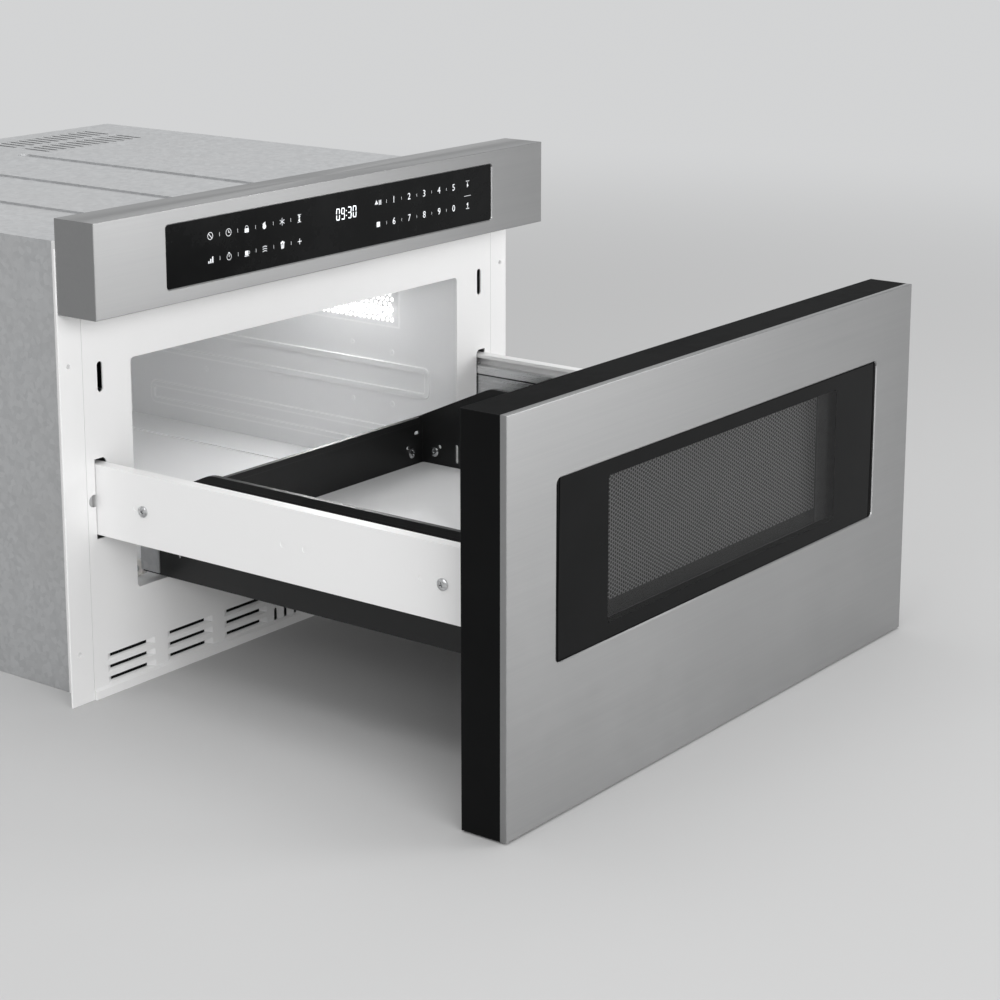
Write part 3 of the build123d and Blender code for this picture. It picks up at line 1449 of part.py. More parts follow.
# Black frame behind the skin: outer walls, a nesting rim, a front wall, the window tunnel and the back wall.
with BuildPart() as door_frame:
    with BuildSketch(front_plane(seam_y)):
        with Locations((0, door_z)):
            Rectangle(front_width, door_height)
            Rectangle(front_width - 2 * door_wall, door_height - 2 * door_wall, mode=Mode.SUBTRACT)
    extrude(amount=-(door_back_y - seam_y))
    with BuildSketch(front_plane(window_glass_y)):
        with Locations((0, door_z)):
            nest_width = front_width - 2 * door_skin_t - 2 * nest_clear
            nest_height = door_height - 2 * door_skin_t - 2 * nest_clear
            Rectangle(nest_width, nest_height)
            Rectangle(nest_width - 2 * door_wall, nest_height - 2 * door_wall, mode=Mode.SUBTRACT)
    extrude(amount=-(window_glass_t + door_wall))
    with BuildSketch(front_plane(window_glass_back_y)):
        with Locations((0, door_z)):
            Rectangle(nest_width, nest_height)
        with Locations((0, window_z)):
            Rectangle(tunnel_width, tunnel_height, mode=Mode.SUBTRACT)
    extrude(amount=-door_wall)
    with BuildSketch(front_plane(window_glass_back_y)):
        with Locations((0, window_z)):
            Rectangle(tunnel_width + 2 * door_wall, tunnel_height + 2 * door_wall)
            Rectangle(tunnel_width, tunnel_height, mode=Mode.SUBTRACT)
    extrude(amount=-(screen_y - window_glass_back_y))
    with BuildSketch(front_plane(choke_back_y)):
        with Locations((0, door_z)):
            Rectangle(front_width, door_height)
        with Locations((0, choke_z)):
            Rectangle(choke_width + 2 * nest_clear, choke_height + 2 * nest_clear, mode=Mode.SUBTRACT)
    extrude(amount=-door_wall)
door_frame.part.label = "door_frame"
export_step(door_frame.part, "parts/door_frame.step")

# Outer window glass, clamped between the skin and the frame.
with BuildPart() as door_glass:
    with BuildSketch(front_plane(window_glass_y)):
        with Locations((0, window_z)):
            RectangleRounded(
                window_width + 2 * window_glass_lap, window_height + 2 * window_glass_lap, window_corner
            )
    extrude(amount=-window_glass_t)
door_glass.part.label = "door_glass"
export_step(door_glass.part, "parts/door_glass.step")

# Mesh screen at the end of the tunnel.
with BuildPart() as door_screen:
    with BuildSketch(front_plane(screen_y - screen_t)):
        with Locations((0, window_z)):
            Rectangle(screen_width + 2 * screen_lap, screen_height + 2 * screen_lap)
    extrude(amount=-screen_t)
door_screen.part.label = "door_screen"
export_step(door_screen.part, "parts/door_screen.step")

# Choke: a steel pan that opens to the back, with a row of slots in each wall and a flange behind them.
with BuildPart() as door_choke:
    with BuildSketch(front_plane(screen_y)):
        with Locations((0, choke_z)):
            Rectangle(choke_width, choke_height)
    extrude(amount=-(choke_back_y - screen_y))
    offset(amount=-choke_t, openings=door_choke.faces().sort_by(Axis.Y)[-1], kind=Kind.INTERSECTION)
    with BuildSketch(front_plane(choke_back_y - choke_t)):
        with Locations((0, choke_z)):
            Rectangle(choke_width + 2 * choke_flange, choke_height + 2 * choke_flange)
            Rectangle(choke_width, choke_height, mode=Mode.SUBTRACT)
    extrude(amount=-choke_t)
    with BuildSketch(front_plane(screen_y)):
        with Locations((0, window_z)):
            Rectangle(screen_width, screen_height)
    extrude(amount=-choke_t, mode=Mode.SUBTRACT)
    slot_y = (screen_y + choke_back_y) / 2
    with BuildSketch(level_plane(choke_z - choke_height / 2)):
        with Locations((0, slot_y)):
            with GridLocations(choke_slot_pitch, 1, choke_columns, 1):
                SlotOverall(*choke_slot)
    extrude(amount=choke_height, mode=Mode.SUBTRACT)
    with BuildSketch(side_plane(-choke_width / 2)):
        with Locations((slot_y, choke_z)):
            with GridLocations(1, choke_slot_pitch, 1, choke_rows):
                SlotOverall(*choke_slot, rotation=90)
    extrude(amount=choke_width, mode=Mode.SUBTRACT)
door_choke.part.label = "door_choke"
export_step(door_choke.part, "parts/door_choke.step")

# Dark cover over the choke on the inside of the drawer front.
with BuildPart() as choke_cover:
    with BuildSketch(front_plane(choke_back_y)):
        with Locations((0, choke_z)):
            Rectangle(choke_width, choke_height)
        with Locations((0, window_z)):
            RectangleRounded(screen_width, screen_height, window_corner, mode=Mode.SUBTRACT)
    extrude(amount=-door_wall)
choke_cover.part.label = "choke_cover"
export_step(choke_cover.part, "parts/choke_cover.step")

# Latch hooks that reach through the slots in the front frame when the drawer is shut.
half_hook = hook_height / 2
with BuildPart() as latch_hook:
    with BuildSketch(side_plane(hook_x - hook_t / 2)):
        with BuildLine():
            Polyline(
                (door_back_y, hook_slot_z - half_hook),
                (door_back_y + 2 * hook_length / 3, hook_slot_z - half_hook),
                (door_back_y + hook_length, hook_slot_z - half_hook / 2),
                (door_back_y + hook_length, hook_slot_z + half_hook / 3),
                (door_back_y + 3 * hook_length / 4, hook_slot_z + half_hook / 3),
                (door_back_y + 3 * hook_length / 4, hook_slot_z),
                (door_back_y + hook_length / 2, hook_slot_z),
                (door_back_y + hook_length / 2, hook_slot_z + half_hook / 2),
                (door_back_y + hook_length / 4, hook_slot_z + half_hook),
                (door_back_y, hook_slot_z + half_hook),
                close=True,
            )
        make_face()
    extrude(amount=hook_t)
    with BuildSketch(front_plane(door_back_y)):
        with Locations((hook_x, hook_slot_z)):
            Rectangle(hook_base_width, hook_height)
    extrude(amount=-hook_base_t)
with BuildPart() as latch_hooks:
    add(latch_hook.part)
    mirror(about=Plane.YZ)
latch_hooks.part.label = "latch_hooks"
export_step(latch_hooks.part, "parts/latch_hooks.step")

# Interlock switch on its angle plate, one behind each hook slot.
switch_x, switch_depth, switch_tall = switch_size
switch_y = door_back_y + travel + hook_length + switch_gap
with BuildPart() as latch_switch:
    with BuildSketch(level_plane(hook_slot_z - switch_tall / 2)):
        switch_side_x = switch_plate_x + switch_plate_t
        span_rectangle(switch_side_x, switch_side_x + switch_x, switch_y, switch_y + switch_depth)
    extrude(amount=switch_tall)
    fillet(latch_switch.edges().filter_by(Axis.Z), switch_plate_t / 2)
    with BuildSketch(level_plane(hook_slot_z - switch_tall / 2)):
        with BuildLine():
            Polyline(
                (switch_plate_x, frame_back_y),
                (switch_plate_x + switch_flange, frame_back_y),
                (switch_plate_x + switch_flange, frame_back_y + switch_plate_t),
                (switch_plate_x + switch_plate_t, frame_back_y + switch_plate_t),
                (switch_plate_x + switch_plate_t, switch_y + switch_depth),
                (switch_plate_x, switch_y + switch_depth),
                close=True,
            )
        make_face()
    extrude(amount=switch_tall)
with BuildPart() as latch_switches:
    add(latch_switch.part)
    mirror(about=Plane.YZ)
latch_switches.part.label = "latch_switches"
export_step(latch_switches.part, "parts/latch_switches.step")

# ---------------------------------------------------------------- drive
# Rack under the box. Its straight-sided teeth point down, and one stands over the pinion's axle.
half_tooth = tooth_pitch / 4
tooth_height = 2.25 * gear_module
tooth_spread = tan(radians(pressure_angle))
rack_tooth_width = 2 * (half_tooth + 1.25 * gear_module * tooth_spread)
rack_teeth_front = floor((pinion_y - door_back_y) / tooth_pitch) - 1
rack_teeth_rear = floor(rack_overrun / tooth_pitch)
rack_tooth_spots = [
    (pinion_y + tooth * tooth_pitch, rack_root_z - tooth_height / 2)
    for tooth in range(-rack_teeth_front, rack_teeth_rear + 1)
]
with BuildPart() as drive_rack:
    with BuildSketch(side_plane(-rack_width / 2)):
        span_rectangle(door_back_y, rack_rear_y, rack_root_z, rack_top_z)
        with Locations(*rack_tooth_spots):
            Trapezoid(rack_tooth_width, tooth_height, 90 - pressure_angle, rotation=180)
    extrude(amount=rack_width)
    with BuildSketch(front_plane(door_back_y)):
        span_rectangle(-rack_flange_width / 2, rack_flange_width / 2, rack_flange_low_z, rack_flange_high_z)
    extrude(amount=-rack_flange_t)
drive_rack.part.label = "drive_rack"
export_step(drive_rack.part, "parts/drive_rack.step")

# Pinion with involute flanks, cut thinner by the backlash, and phased with a gap at the top.
base_r = pinion_r * cos(radians(pressure_angle))
tip_r = pinion_r + gear_module
root_r = pinion_r - 1.25 * gear_module
pitch_involute = tan(radians(pressure_angle)) - radians(pressure_angle)
half_tooth_angle = (tooth_pitch / 2 - backlash) / (2 * pinion_r)
flank_steps = 4
flank = [(root_r - gear_module / 4, half_tooth_angle + pitch_involute)]
for step in range(flank_steps + 1):
    flank_r = base_r + (tip_r - base_r) * step / flank_steps
    roll = acos(base_r / flank_r)
    flank.append((flank_r, half_tooth_angle + pitch_involute - tan(roll) + roll))
tooth_outline = [(r * cos(angle), r * sin(angle)) for r, angle in flank]
tooth_outline += [(x, -y) for x, y in reversed(tooth_outline)]
with BuildSketch() as pinion_tooth:
    with BuildLine():
        Polyline(*tooth_outline, close=True)
    make_face()
with BuildPart() as drive_pinion:
    with BuildSketch(side_plane(-pinion_width / 2)):
        with Locations((pinion_y, pinion_z)):
            Circle(root_r)
            with PolarLocations(0, pinion_teeth, start_angle=90 + 180 / pinion_teeth):
                add(pinion_tooth.sketch)
    extrude(amount=pinion_width)
    with BuildSketch(side_plane(-shaft_left)):
        with Locations((pinion_y, pinion_z)):
            Circle(shaft_r)
    extrude(amount=shaft_left + shaft_right)
drive_pinion.part.label = "drive_pinion"
export_step(drive_pinion.part, "parts/drive_pinion.step")

# Bracket round the pinion: two cheeks with bores, a bridge that guides the rack from above, and two feet.
cheek_x = drive_wall_x + drive_wall_t
guide_low_z = rack_top_z + drive_guide_gap
with BuildPart() as drive_bracket:
    with BuildSketch(front_plane(pinion_y - drive_wall_length / 2)):
        span_rectangle(-cheek_x, cheek_x, panel_t, guide_low_z + drive_wall_t)
        span_rectangle(-drive_wall_x, drive_wall_x, panel_t, guide_low_z, Mode.SUBTRACT)
        span_rectangle(-cheek_x - drive_foot, -cheek_x, panel_t, panel_t + drive_wall_t)
        span_rectangle(cheek_x, cheek_x + drive_foot, panel_t, panel_t + drive_wall_t)
    extrude(amount=-drive_wall_length)
    with BuildSketch(side_plane(-cheek_x)):
        with Locations((pinion_y, pinion_z)):
            Circle(shaft_r + running_clear)
    extrude(amount=2 * cheek_x, mode=Mode.SUBTRACT)
    foot_spots = [(side * (cheek_x + drive_foot / 2), pinion_y) for side in (-1, 1)]
    with BuildSketch(level_plane(panel_t)):
        with Locations(*foot_spots):
            Circle(screw_shank_r + screw_clear)
    extrude(amount=drive_wall_t, mode=Mode.SUBTRACT)
drive_bracket.part.label = "drive_bracket"
export_step(drive_bracket.part, "parts/drive_bracket.step")

# Gearmotor against the right cheek: gearbox, motor can and end boss in line with the shaft.
with BuildPart() as drive_gearmotor:
    with BuildSketch(side_plane(cheek_x)):
        with Locations((pinion_y, pinion_z)):
            RectangleRounded(gearbox_length, gearbox_height, gearbox_corner)
    extrude(amount=gearbox_width)
    with BuildSketch(side_plane(cheek_x + gearbox_width)):
        with Locations((pinion_y, pinion_z)):
            Circle(motor_r)
    extrude(amount=motor_length)
    fillet(drive_gearmotor.faces().sort_by(Axis.X)[-1].edges(), motor_boss_length / 2)
    with BuildSketch(side_plane(cheek_x + gearbox_width + motor_length)):
        with Locations((pinion_y, pinion_z)):
            Circle(motor_boss_r)
    extrude(amount=motor_boss_length)
    with BuildSketch(side_plane(cheek_x)):
        with Locations((pinion_y, pinion_z)):
            Circle(shaft_r + running_clear)
    extrude(amount=shaft_right - cheek_x + screw_shank_r, mode=Mode.SUBTRACT)
drive_gearmotor.part.label = "drive_gearmotor"
export_step(drive_gearmotor.part, "parts/drive_gearmotor.step")
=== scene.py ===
# %% [markdown]
# # A built-in microwave drawer, dressed for its portrait
# The imported CAD model gives every piece its true size and place. This lesson adds what the CAD model leaves
# out: screw heads with a recess, the black print on the window glass, strips of painted shade in the louvres,
# the lamp's pane, the printed keys, the lit clock, and a finish with grain, texture and wear for every
# surface.

# %% Load the imported model
import json
from math import cos, radians, sin, sqrt

import bmesh
import bpy
from mathutils import Matrix, Vector


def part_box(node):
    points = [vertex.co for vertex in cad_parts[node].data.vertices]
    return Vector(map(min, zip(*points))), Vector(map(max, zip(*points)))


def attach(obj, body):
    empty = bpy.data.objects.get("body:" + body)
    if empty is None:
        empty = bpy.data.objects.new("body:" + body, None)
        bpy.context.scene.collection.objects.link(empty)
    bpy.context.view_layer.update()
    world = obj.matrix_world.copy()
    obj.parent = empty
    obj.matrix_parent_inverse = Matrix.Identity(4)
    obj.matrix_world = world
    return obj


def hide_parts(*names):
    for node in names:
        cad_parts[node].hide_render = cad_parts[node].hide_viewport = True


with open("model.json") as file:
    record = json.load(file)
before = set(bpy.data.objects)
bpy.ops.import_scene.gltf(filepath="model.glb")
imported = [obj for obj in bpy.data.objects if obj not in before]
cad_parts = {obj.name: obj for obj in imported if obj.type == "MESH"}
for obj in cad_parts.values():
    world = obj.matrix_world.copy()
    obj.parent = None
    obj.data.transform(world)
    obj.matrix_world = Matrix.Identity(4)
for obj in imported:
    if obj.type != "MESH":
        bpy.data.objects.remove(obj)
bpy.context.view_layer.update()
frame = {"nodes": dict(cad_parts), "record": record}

# %% [markdown]
# The camera stands to the left of the open drawer, a little over two metres away, and looks slightly down on
# it. A long lens keeps the perspective calm. The picture is square, so one lens value fits both of its sides.
# A small shift of the lens keeps the camera's tilt low, so the upright edges stay almost parallel.

# %% The camera
eye = Vector((-1.62587, -1.72892, 0.74608))
heading = radians(52.819)
tilt = radians(12.675)
looking = Vector((sin(heading) * cos(tilt), cos(heading) * cos(tilt), -sin(tilt)))
bpy.ops.object.select_all(action="DESELECT")
bpy.ops.object.camera_add(location=eye)
camera = bpy.context.object
camera.name = "portrait_camera"
camera.rotation_mode = "QUATERNION"
camera.rotation_quaternion = looking.to_track_quat("-Z", "Y")
camera.data.sensor_width = 36.0
camera.data.lens = 87.19
camera.data.shift_y = -0.15
camera.data.clip_end = 200.0
bpy.context.scene.camera = camera
print("Camera:", [round(v, 3) for v in eye], "lens", camera.data.lens)

# %% [markdown]
# ## Tools for node trees
# The look of a surface, or of the room round it, is a small tree of nodes. These helpers keep such a tree
# short to write. One adds a node and gives each of its inputs a link or a plain value. The others are the
# nodes that come back most often: arithmetic, a new span for a value, a mix of two tones, and noise.

# %% Node helpers
def feed(node, sources):
    """Each input, by its name or number, gets a link or a plain value."""
    for name, source in sources.items():
        if isinstance(source, bpy.types.NodeSocket):
            node.id_data.links.new(source, node.inputs[name])
        else:
            node.inputs[name].default_value = source


def add_node(tree, kind, sources=None, **settings):
    node = tree.nodes.new(kind)
    for key, value in settings.items():
        setattr(node, key, value)
    feed(node, sources or {})
    return node


def calculate(tree, operation, first, second=0.0):
    return add_node(tree, "ShaderNodeMath", {0: first, 1: second}, operation=operation).outputs[0]


def respan(tree, value, low, high, start=0.0, end=1.0):
    """What ran from start to end runs from low to high."""
    span = {"Value": value, "From Min": start, "From Max": end, "To Min": low, "To Max": high}
    return add_node(tree, "ShaderNodeMapRange", span).outputs["Result"]


def between(tree, mask, first, second):
    """The first tone where the mask is 0, the second where it is 1."""
    return add_node(tree, "ShaderNodeMix", {0: mask, 6: first, 7: second}, data_type="RGBA").outputs[2]


def speckle(tree, vector, scale, detail, roughness):
    noise = {"Vector": vector, "Scale": scale, "Detail": detail, "Roughness": roughness}
    return add_node(tree, "ShaderNodeTexNoise", noise).outputs[0]


def looked_at(tree):
    """1 where the camera, a reflection or a pane of glass looks, 0 where a surface only takes light."""
    ray = add_node(tree, "ShaderNodeLightPath").outputs
    seen = calculate(tree, "MAXIMUM", ray["Is Camera Ray"], ray["Is Glossy Ray"])
    return calculate(tree, "MAXIMUM", seen, ray["Is Transmission Ray"])


def grey(value, warm=0.0):
    return (value * (1 + warm), value, value * (1 - warm), 1.0)


print("Node helpers ready")

# %% [markdown]
# ## The studio
# A studio is a pale floor and large soft lamps. Steel and black glass show what is around them, so the room
# itself matters as much as the lamps. It has one pale tone where the camera, a reflection or a pane of glass
# looks at it, and a dimmer one as a source of light, which leaves some of the shading to the lamps.

# %% The room
room = bpy.data.worlds.new("pale_room")
room.use_nodes = True
bpy.context.scene.world = room
tree = room.node_tree
tree.nodes.clear()
pale_tone = (0.65, 0.655, 0.66, 1.0)
dim_tone = (0.90, 0.905, 0.91, 1.0)
dim_room = add_node(tree, "ShaderNodeBackground", {"Color": dim_tone, "Strength": 0.52}).outputs[0]
seen_room = add_node(tree, "ShaderNodeBackground", {"Color": pale_tone, "Strength": 1.0}).outputs[0]
either_room = add_node(tree, "ShaderNodeMixShader", {0: looked_at(tree), 1: dim_room, 2: seen_room})
add_node(tree, "ShaderNodeOutputWorld", {0: either_room.outputs[0]})
bpy.context.scene.view_settings.view_transform = "Standard"
print("Room:", room.name)

# %% The lamps
def hang_lamp(name, place, aim, wide, tall, watts):
    bpy.ops.object.light_add(type="AREA", location=place)
    lamp = bpy.context.object
    lamp.name = name
    lamp.rotation_mode = "QUATERNION"
    lamp.rotation_quaternion = (Vector(aim) - Vector(place)).to_track_quat("-Z", "Y")
    lamp.data.shape = "RECTANGLE"
    lamp.data.size = wide
    lamp.data.size_y = tall
    lamp.data.energy = watts
    print("Lamp:", name, watts, "W")


middle = (0.0, -0.25, 0.2)
hang_lamp("side_softbox", (-3.2, -0.6, 1.5), middle, 2.4, 2.0, 20.0)
hang_lamp("front_softbox", (-1.9, -3.7, 1.4), middle, 2.6, 1.8, 75.0)
hang_lamp("steel_softbox", (1.8, -2.8, 0.8), (0.0, -0.7, 0.2), 1.2, 1.2, 32.0)
hang_lamp("top_softbox", (0.2, -0.4, 3.2), middle, 3.0, 3.0, 47.0)

# %% [markdown]
# The oven's own lamp shines through the perforated patch high in the right wall. A small area light just
# inside the cavity does the lighting, and the camera doesn't see it, so the patch itself stays in view.

# %% The oven light
MM = 0.001
grille_low, grille_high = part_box("lamp_grille")
lamp_place = (grille_low + grille_high) / 2
lamp_place.x = grille_low.x - 1.0 * MM
inwards_and_down = Vector((-1, 0, -0.25))
hang_lamp("oven_light", lamp_place, lamp_place + inwards_and_down, 0.14, 0.045, 0.62)
bpy.context.object.visible_camera = False

# %% [markdown]
# ## Tools for the hand
# A new piece starts as a primitive and is then shaped in edit mode. These helpers do the small chores: start
# a piece with nothing else selected, open it for shaping, pick its faces by a test on their place or normal,
# move its corners, and close it again with its faces turned outwards.

# %% Shaping helpers
def clear_selection():
    if bpy.context.object and bpy.context.object.mode != "OBJECT":
        bpy.ops.object.mode_set(mode="OBJECT")
    bpy.ops.object.select_all(action="DESELECT")


def select_only(piece):
    clear_selection()
    piece.select_set(True)
    bpy.context.view_layer.objects.active = piece


def start_piece(add_primitive, **settings):
    clear_selection()
    add_primitive(**settings)
    return bpy.context.object


def open_piece(piece):
    select_only(piece)
    bpy.ops.object.mode_set(mode="EDIT")
    bpy.ops.mesh.select_mode(type="FACE")
    return piece


def pick_all():
    bpy.ops.mesh.select_all(action="SELECT")


def pick_faces(piece, wanted):
    shape = bmesh.from_edit_mesh(piece.data)
    for face in shape.faces:
        face.select_set(wanted(face))
    shape.select_flush_mode()
    bmesh.update_edit_mesh(piece.data)


def move_corners(piece, move):
    shape = bmesh.from_edit_mesh(piece.data)
    for corner in shape.verts:
        move(corner.co)
    bmesh.update_edit_mesh(piece.data)


def close_piece(piece):
    pick_all()
    bpy.ops.mesh.remove_doubles(threshold=0.001 * MM)
    bpy.ops.mesh.normals_make_consistent(inside=False)
    bpy.ops.object.mode_set(mode="OBJECT")
    return piece


def settle(piece):
    """Moves the object's place into its mesh, so the object itself sits at the origin."""
    piece.data.transform(piece.matrix_world)
    piece.matrix_world = Matrix.Identity(4)
    return piece


def start_block(size, place=(0, 0, 0)):
    """A cube stretched to a size, at a place."""
    block = start_piece(bpy.ops.mesh.primitive_cube_add, size=1.0)
    block.dimensions = size
    block.location = place
    bpy.context.view_layer.update()
    return settle(block)


def stamp(pattern, place, name):
    """A copy with its own mesh, set at a place."""
    copy = bpy.data.objects.new(name, pattern.data.copy())
    bpy.context.collection.objects.link(copy)
    copy.data.transform(place)
    return copy


def gather(parts, name):
    """Joins pieces that belong together into one named object."""
    clear_selection()
    for part in parts:
        part.select_set(True)
    bpy.context.view_layer.objects.active = parts[0]
    bpy.ops.object.join()
    whole = bpy.context.object
    whole.name = name
    whole.data.name = name
    clear_selection()
    return whole


def discard(*patterns):
    for pattern in patterns:
        bpy.data.objects.remove(pattern)


print("Shaping helpers ready")

# %% [markdown]
# The floor is one wide, round sheet, far larger than the camera's view, so no edge of it shows from the
# portrait's side. It isn't part of the object.

# %% The floor
just_below = (0, 0, -0.2 * MM)
floor = start_piece(
    bpy.ops.mesh.primitive_circle_add, vertices=64, radius=4.0, fill_type="NGON", location=just_below
)
floor.name = "studio_floor"
open_piece(floor)
pick_all()
bpy.ops.mesh.inset(thickness=1.5)
pick_all()
bpy.ops.transform.resize(value=(9.0, 9.0, 1.0))
close_piece(floor)
settle(floor)
print("Floor across:", round(floor.dimensions.x, 1), "m")

# %% [markdown]
# ## Screws
# Eight equal pan-head screws hold the rail covers and the rear corners of the box. Each has a domed head with
# a cross recess. One is made and copied: the top of a cylinder is inset twice, and its corners are lowered
# towards the rim, which gives the dome. The underside is inset and extruded into a short shank. Two bars that
# taper downwards are then cut out with a Boolean modifier, as a punch makes the real cross.

# %% One screw
head_r = 4.9 * MM
head_h = 2.4 * MM
dome_h = 1.15 * MM
screw = start_piece(
    bpy.ops.mesh.primitive_cylinder_add, vertices=40, radius=head_r, depth=head_h, location=(0, 0, head_h / 2)
)
open_piece(settle(screw))
pick_faces(screw, lambda face: face.normal.z > 0.9)
bpy.ops.mesh.inset(thickness=0.9 * MM)
bpy.ops.mesh.inset(thickness=1.2 * MM)


def lower_to_rim(corner):
    reach = sqrt(corner.x ** 2 + corner.y ** 2)
    if corner.z > head_h / 2:
        corner.z = head_h - dome_h * (reach / head_r) ** 2.4


move_corners(screw, lower_to_rim)
pick_faces(screw, lambda face: face.normal.z < -0.9)
bpy.ops.mesh.inset(thickness=2.3 * MM)
bpy.ops.mesh.extrude_region_move(TRANSFORM_OT_translate={"value": (0, 0, -1.5 * MM)})
close_piece(screw)
print("Screw head faces:", len(screw.data.polygons))

# %% Its cross recess
bar_size = (5.8 * MM, 1.25 * MM, 2.4 * MM)
bar_middle = (0, 0, head_h - 0.2 * MM)
for turn in (0, 90):
    bar = start_piece(bpy.ops.mesh.primitive_cube_add, size=1.0, location=bar_middle)
    bar.scale = bar_size
    bar.rotation_euler = (0, 0, radians(turn))
    bpy.context.view_layer.update()
    open_piece(settle(bar))
    pick_faces(bar, lambda face: face.normal.z < -0.9)
    bpy.ops.transform.resize(value=(0.42, 0.42, 1.0))
    close_piece(bar)
    select_only(screw)
    recess = screw.modifiers.new("recess", "BOOLEAN")
    recess.operation = "DIFFERENCE"
    recess.solver = "EXACT"
    recess.object = bar
    bpy.ops.object.modifier_apply(modifier="recess")
    discard(bar)
print("Screw faces with the recess:", len(screw.data.polygons))

# %% Eight copies
def site(x, y, z, turn, axis):
    """A place in millimetres, with a turn in degrees about an axis."""
    return Matrix.Translation((x * MM, y * MM, z * MM)) @ Matrix.Rotation(radians(turn), 4, axis)


cover_x, cover_z = 268.0, 175.0
cover_front_y, cover_rear_y = -645.1, -327.9
back_x, back_y, back_z = 175.6, -252.0, 117.3
wall_x, wall_y, wall_z = 193.5, -267.7, 117.8
screw_sites = []
for side in (-1, 1):
    for cover_y in (cover_front_y, cover_rear_y):
        screw_sites.append(site(side * cover_x, cover_y, cover_z, 90 * side, "Y"))
    screw_sites.append(site(side * back_x, back_y, back_z, 90, "X"))
    screw_sites.append(site(side * wall_x, wall_y, wall_z, -90 * side, "Y"))
heads = []
for count, place in enumerate(screw_sites):
    tightened = Matrix.Rotation(radians(23 + 31 * count), 4, "Z")
    heads.append(stamp(screw, place @ tightened, f"screw_{count}"))
discard(screw)
box_screws = gather(heads, "recessed_screws")
select_only(box_screws)
bpy.ops.object.shade_smooth_by_angle(angle=radians(35))
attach(box_screws, "drawer")
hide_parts("drawer_screws")
print("Screws:", len(screw_sites), "in", box_screws.name)

# %% [markdown]
# ## The print on the window glass
# The drawer's window is a smoked field with a wide black border, a print that is fired onto the glass. It is
# modelled as a very thin ring on the face of the glass, as wide as the window that the steel leaves open: a
# plane is inset down to the clear field, the field is taken out, its corners are rounded, and the ring gets
# its thickness.

# %% The printed border
window_half, window_low_z, window_high_z, window_corner = 241.3 * MM, 123.2 * MM, 265.6 * MM, 5.2 * MM
clear_half, clear_low_z, clear_high_z, clear_corner = 173.0 * MM, 135.9 * MM, 253.0 * MM, 2.2 * MM
print_t = 0.04 * MM
border = open_piece(start_piece(bpy.ops.mesh.primitive_plane_add, size=1.0))
pick_all()
bpy.ops.mesh.inset(thickness=0.2)


def fit_window(corner):
    """The inset's corners go to the clear field's edge, the plane's own to the window's."""
    inner = abs(corner.x) < 0.45
    low_z, high_z = (clear_low_z, clear_high_z) if inner else (window_low_z, window_high_z)
    corner.y = high_z if corner.y > 0 else low_z
    corner.x = (clear_half if inner else window_half) * (1 if corner.x > 0 else -1)


def inside_field(point):
    return abs(point.x) < clear_half + 1.0 * MM


move_corners(border, fit_window)
pick_faces(border, lambda face: all(inside_field(corner.co) for corner in face.verts))
bpy.ops.mesh.delete(type="FACE")
bpy.ops.mesh.select_mode(type="VERT")
for inner, roundness in ((False, window_corner), (True, clear_corner)):
    shape = bmesh.from_edit_mesh(border.data)
    for corner in shape.verts:
        corner.select_set(inside_field(corner.co) == inner)
    bmesh.update_edit_mesh(border.data)
    bpy.ops.mesh.bevel(offset=roundness, segments=6, affect="VERTICES")
pick_all()
bpy.ops.mesh.extrude_region_move(TRANSFORM_OT_translate={"value": (0, 0, print_t)})
close_piece(border)
face_front = Matrix.Rotation(radians(90), 4, "X")
glass_face_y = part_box("door_glass")[0].y
border.data.transform(Matrix.Translation((0, glass_face_y + print_t / 4, 0)) @ face_front)
border.name = "window_border_print"
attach(border, "drawer")
print("Clear field:", round(2 * clear_half / MM), "x", round((clear_high_z - clear_low_z) / MM), "mm")

# %% [markdown]
# ## Painted shade strips in the louvres
# The front frame has eighteen louvres that let cooling air in. A strip of black plastic lies in the mouth of
# each one, just behind the sheet. It is painted shade: a dark piece that stands in for the shadow deep in the
# louvre's mouth. One strip is made from a cube and copied to every louvre. It lies a little to the left, its
# back is cut short at the left end and below, where the louvre's own sheet comes close, and its edges are
# bevelled.

# %% One strip and its copies
strip_size = (43.2 * MM, 2.4 * MM, 3.0 * MM)
strip_shift = 3.4 * MM
back_left_x = -18.6 * MM
back_low_z = -0.95 * MM


def fit_louvre(corner):
    corner.x -= strip_shift
    if corner.y > 0:
        corner.x = max(corner.x, back_left_x)
        corner.z = max(corner.z, back_low_z)


strip = open_piece(start_block(strip_size))
move_corners(strip, fit_louvre)
pick_all()
bpy.ops.mesh.bevel(offset=0.2 * MM, segments=2)
close_piece(strip)
first_group_x, group_pitch = 89.5, 72.0
top_row_z, row_pitch, strip_drop = 36.8, 10.5, 1.55
strip_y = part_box("mount_flange_left")[0].y + 1.85 * MM
strips = []
for side in (-1, 1):
    for group in range(3):
        for row in range(3):
            strip_x = side * (first_group_x + group_pitch * group) * MM
            strip_z = (top_row_z - row_pitch * row - strip_drop) * MM
            strips.append(stamp(strip, Matrix.Translation((strip_x, strip_y, strip_z)), "strip"))
discard(strip)
# The strips are painted shade, dark pieces that stand in for the shadow in the louvres' mouths.
louvre_shade_strips = gather(strips, "louvre_painted_shade_strips")
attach(louvre_shade_strips, "chassis")
print("Painted shade strips:", len(strips), "at y", round(strip_y, 4))

# %% [markdown]
# ## The lamp's pane
# Behind the perforated patch in the right wall stands a sheet of frosted, heat-proof glass. It keeps
# splashes off the bulb and spreads its light, which is why the whole patch glows. A cube is stretched to the
# size of the lamp's housing, less a gap all round, and its edges are bevelled.

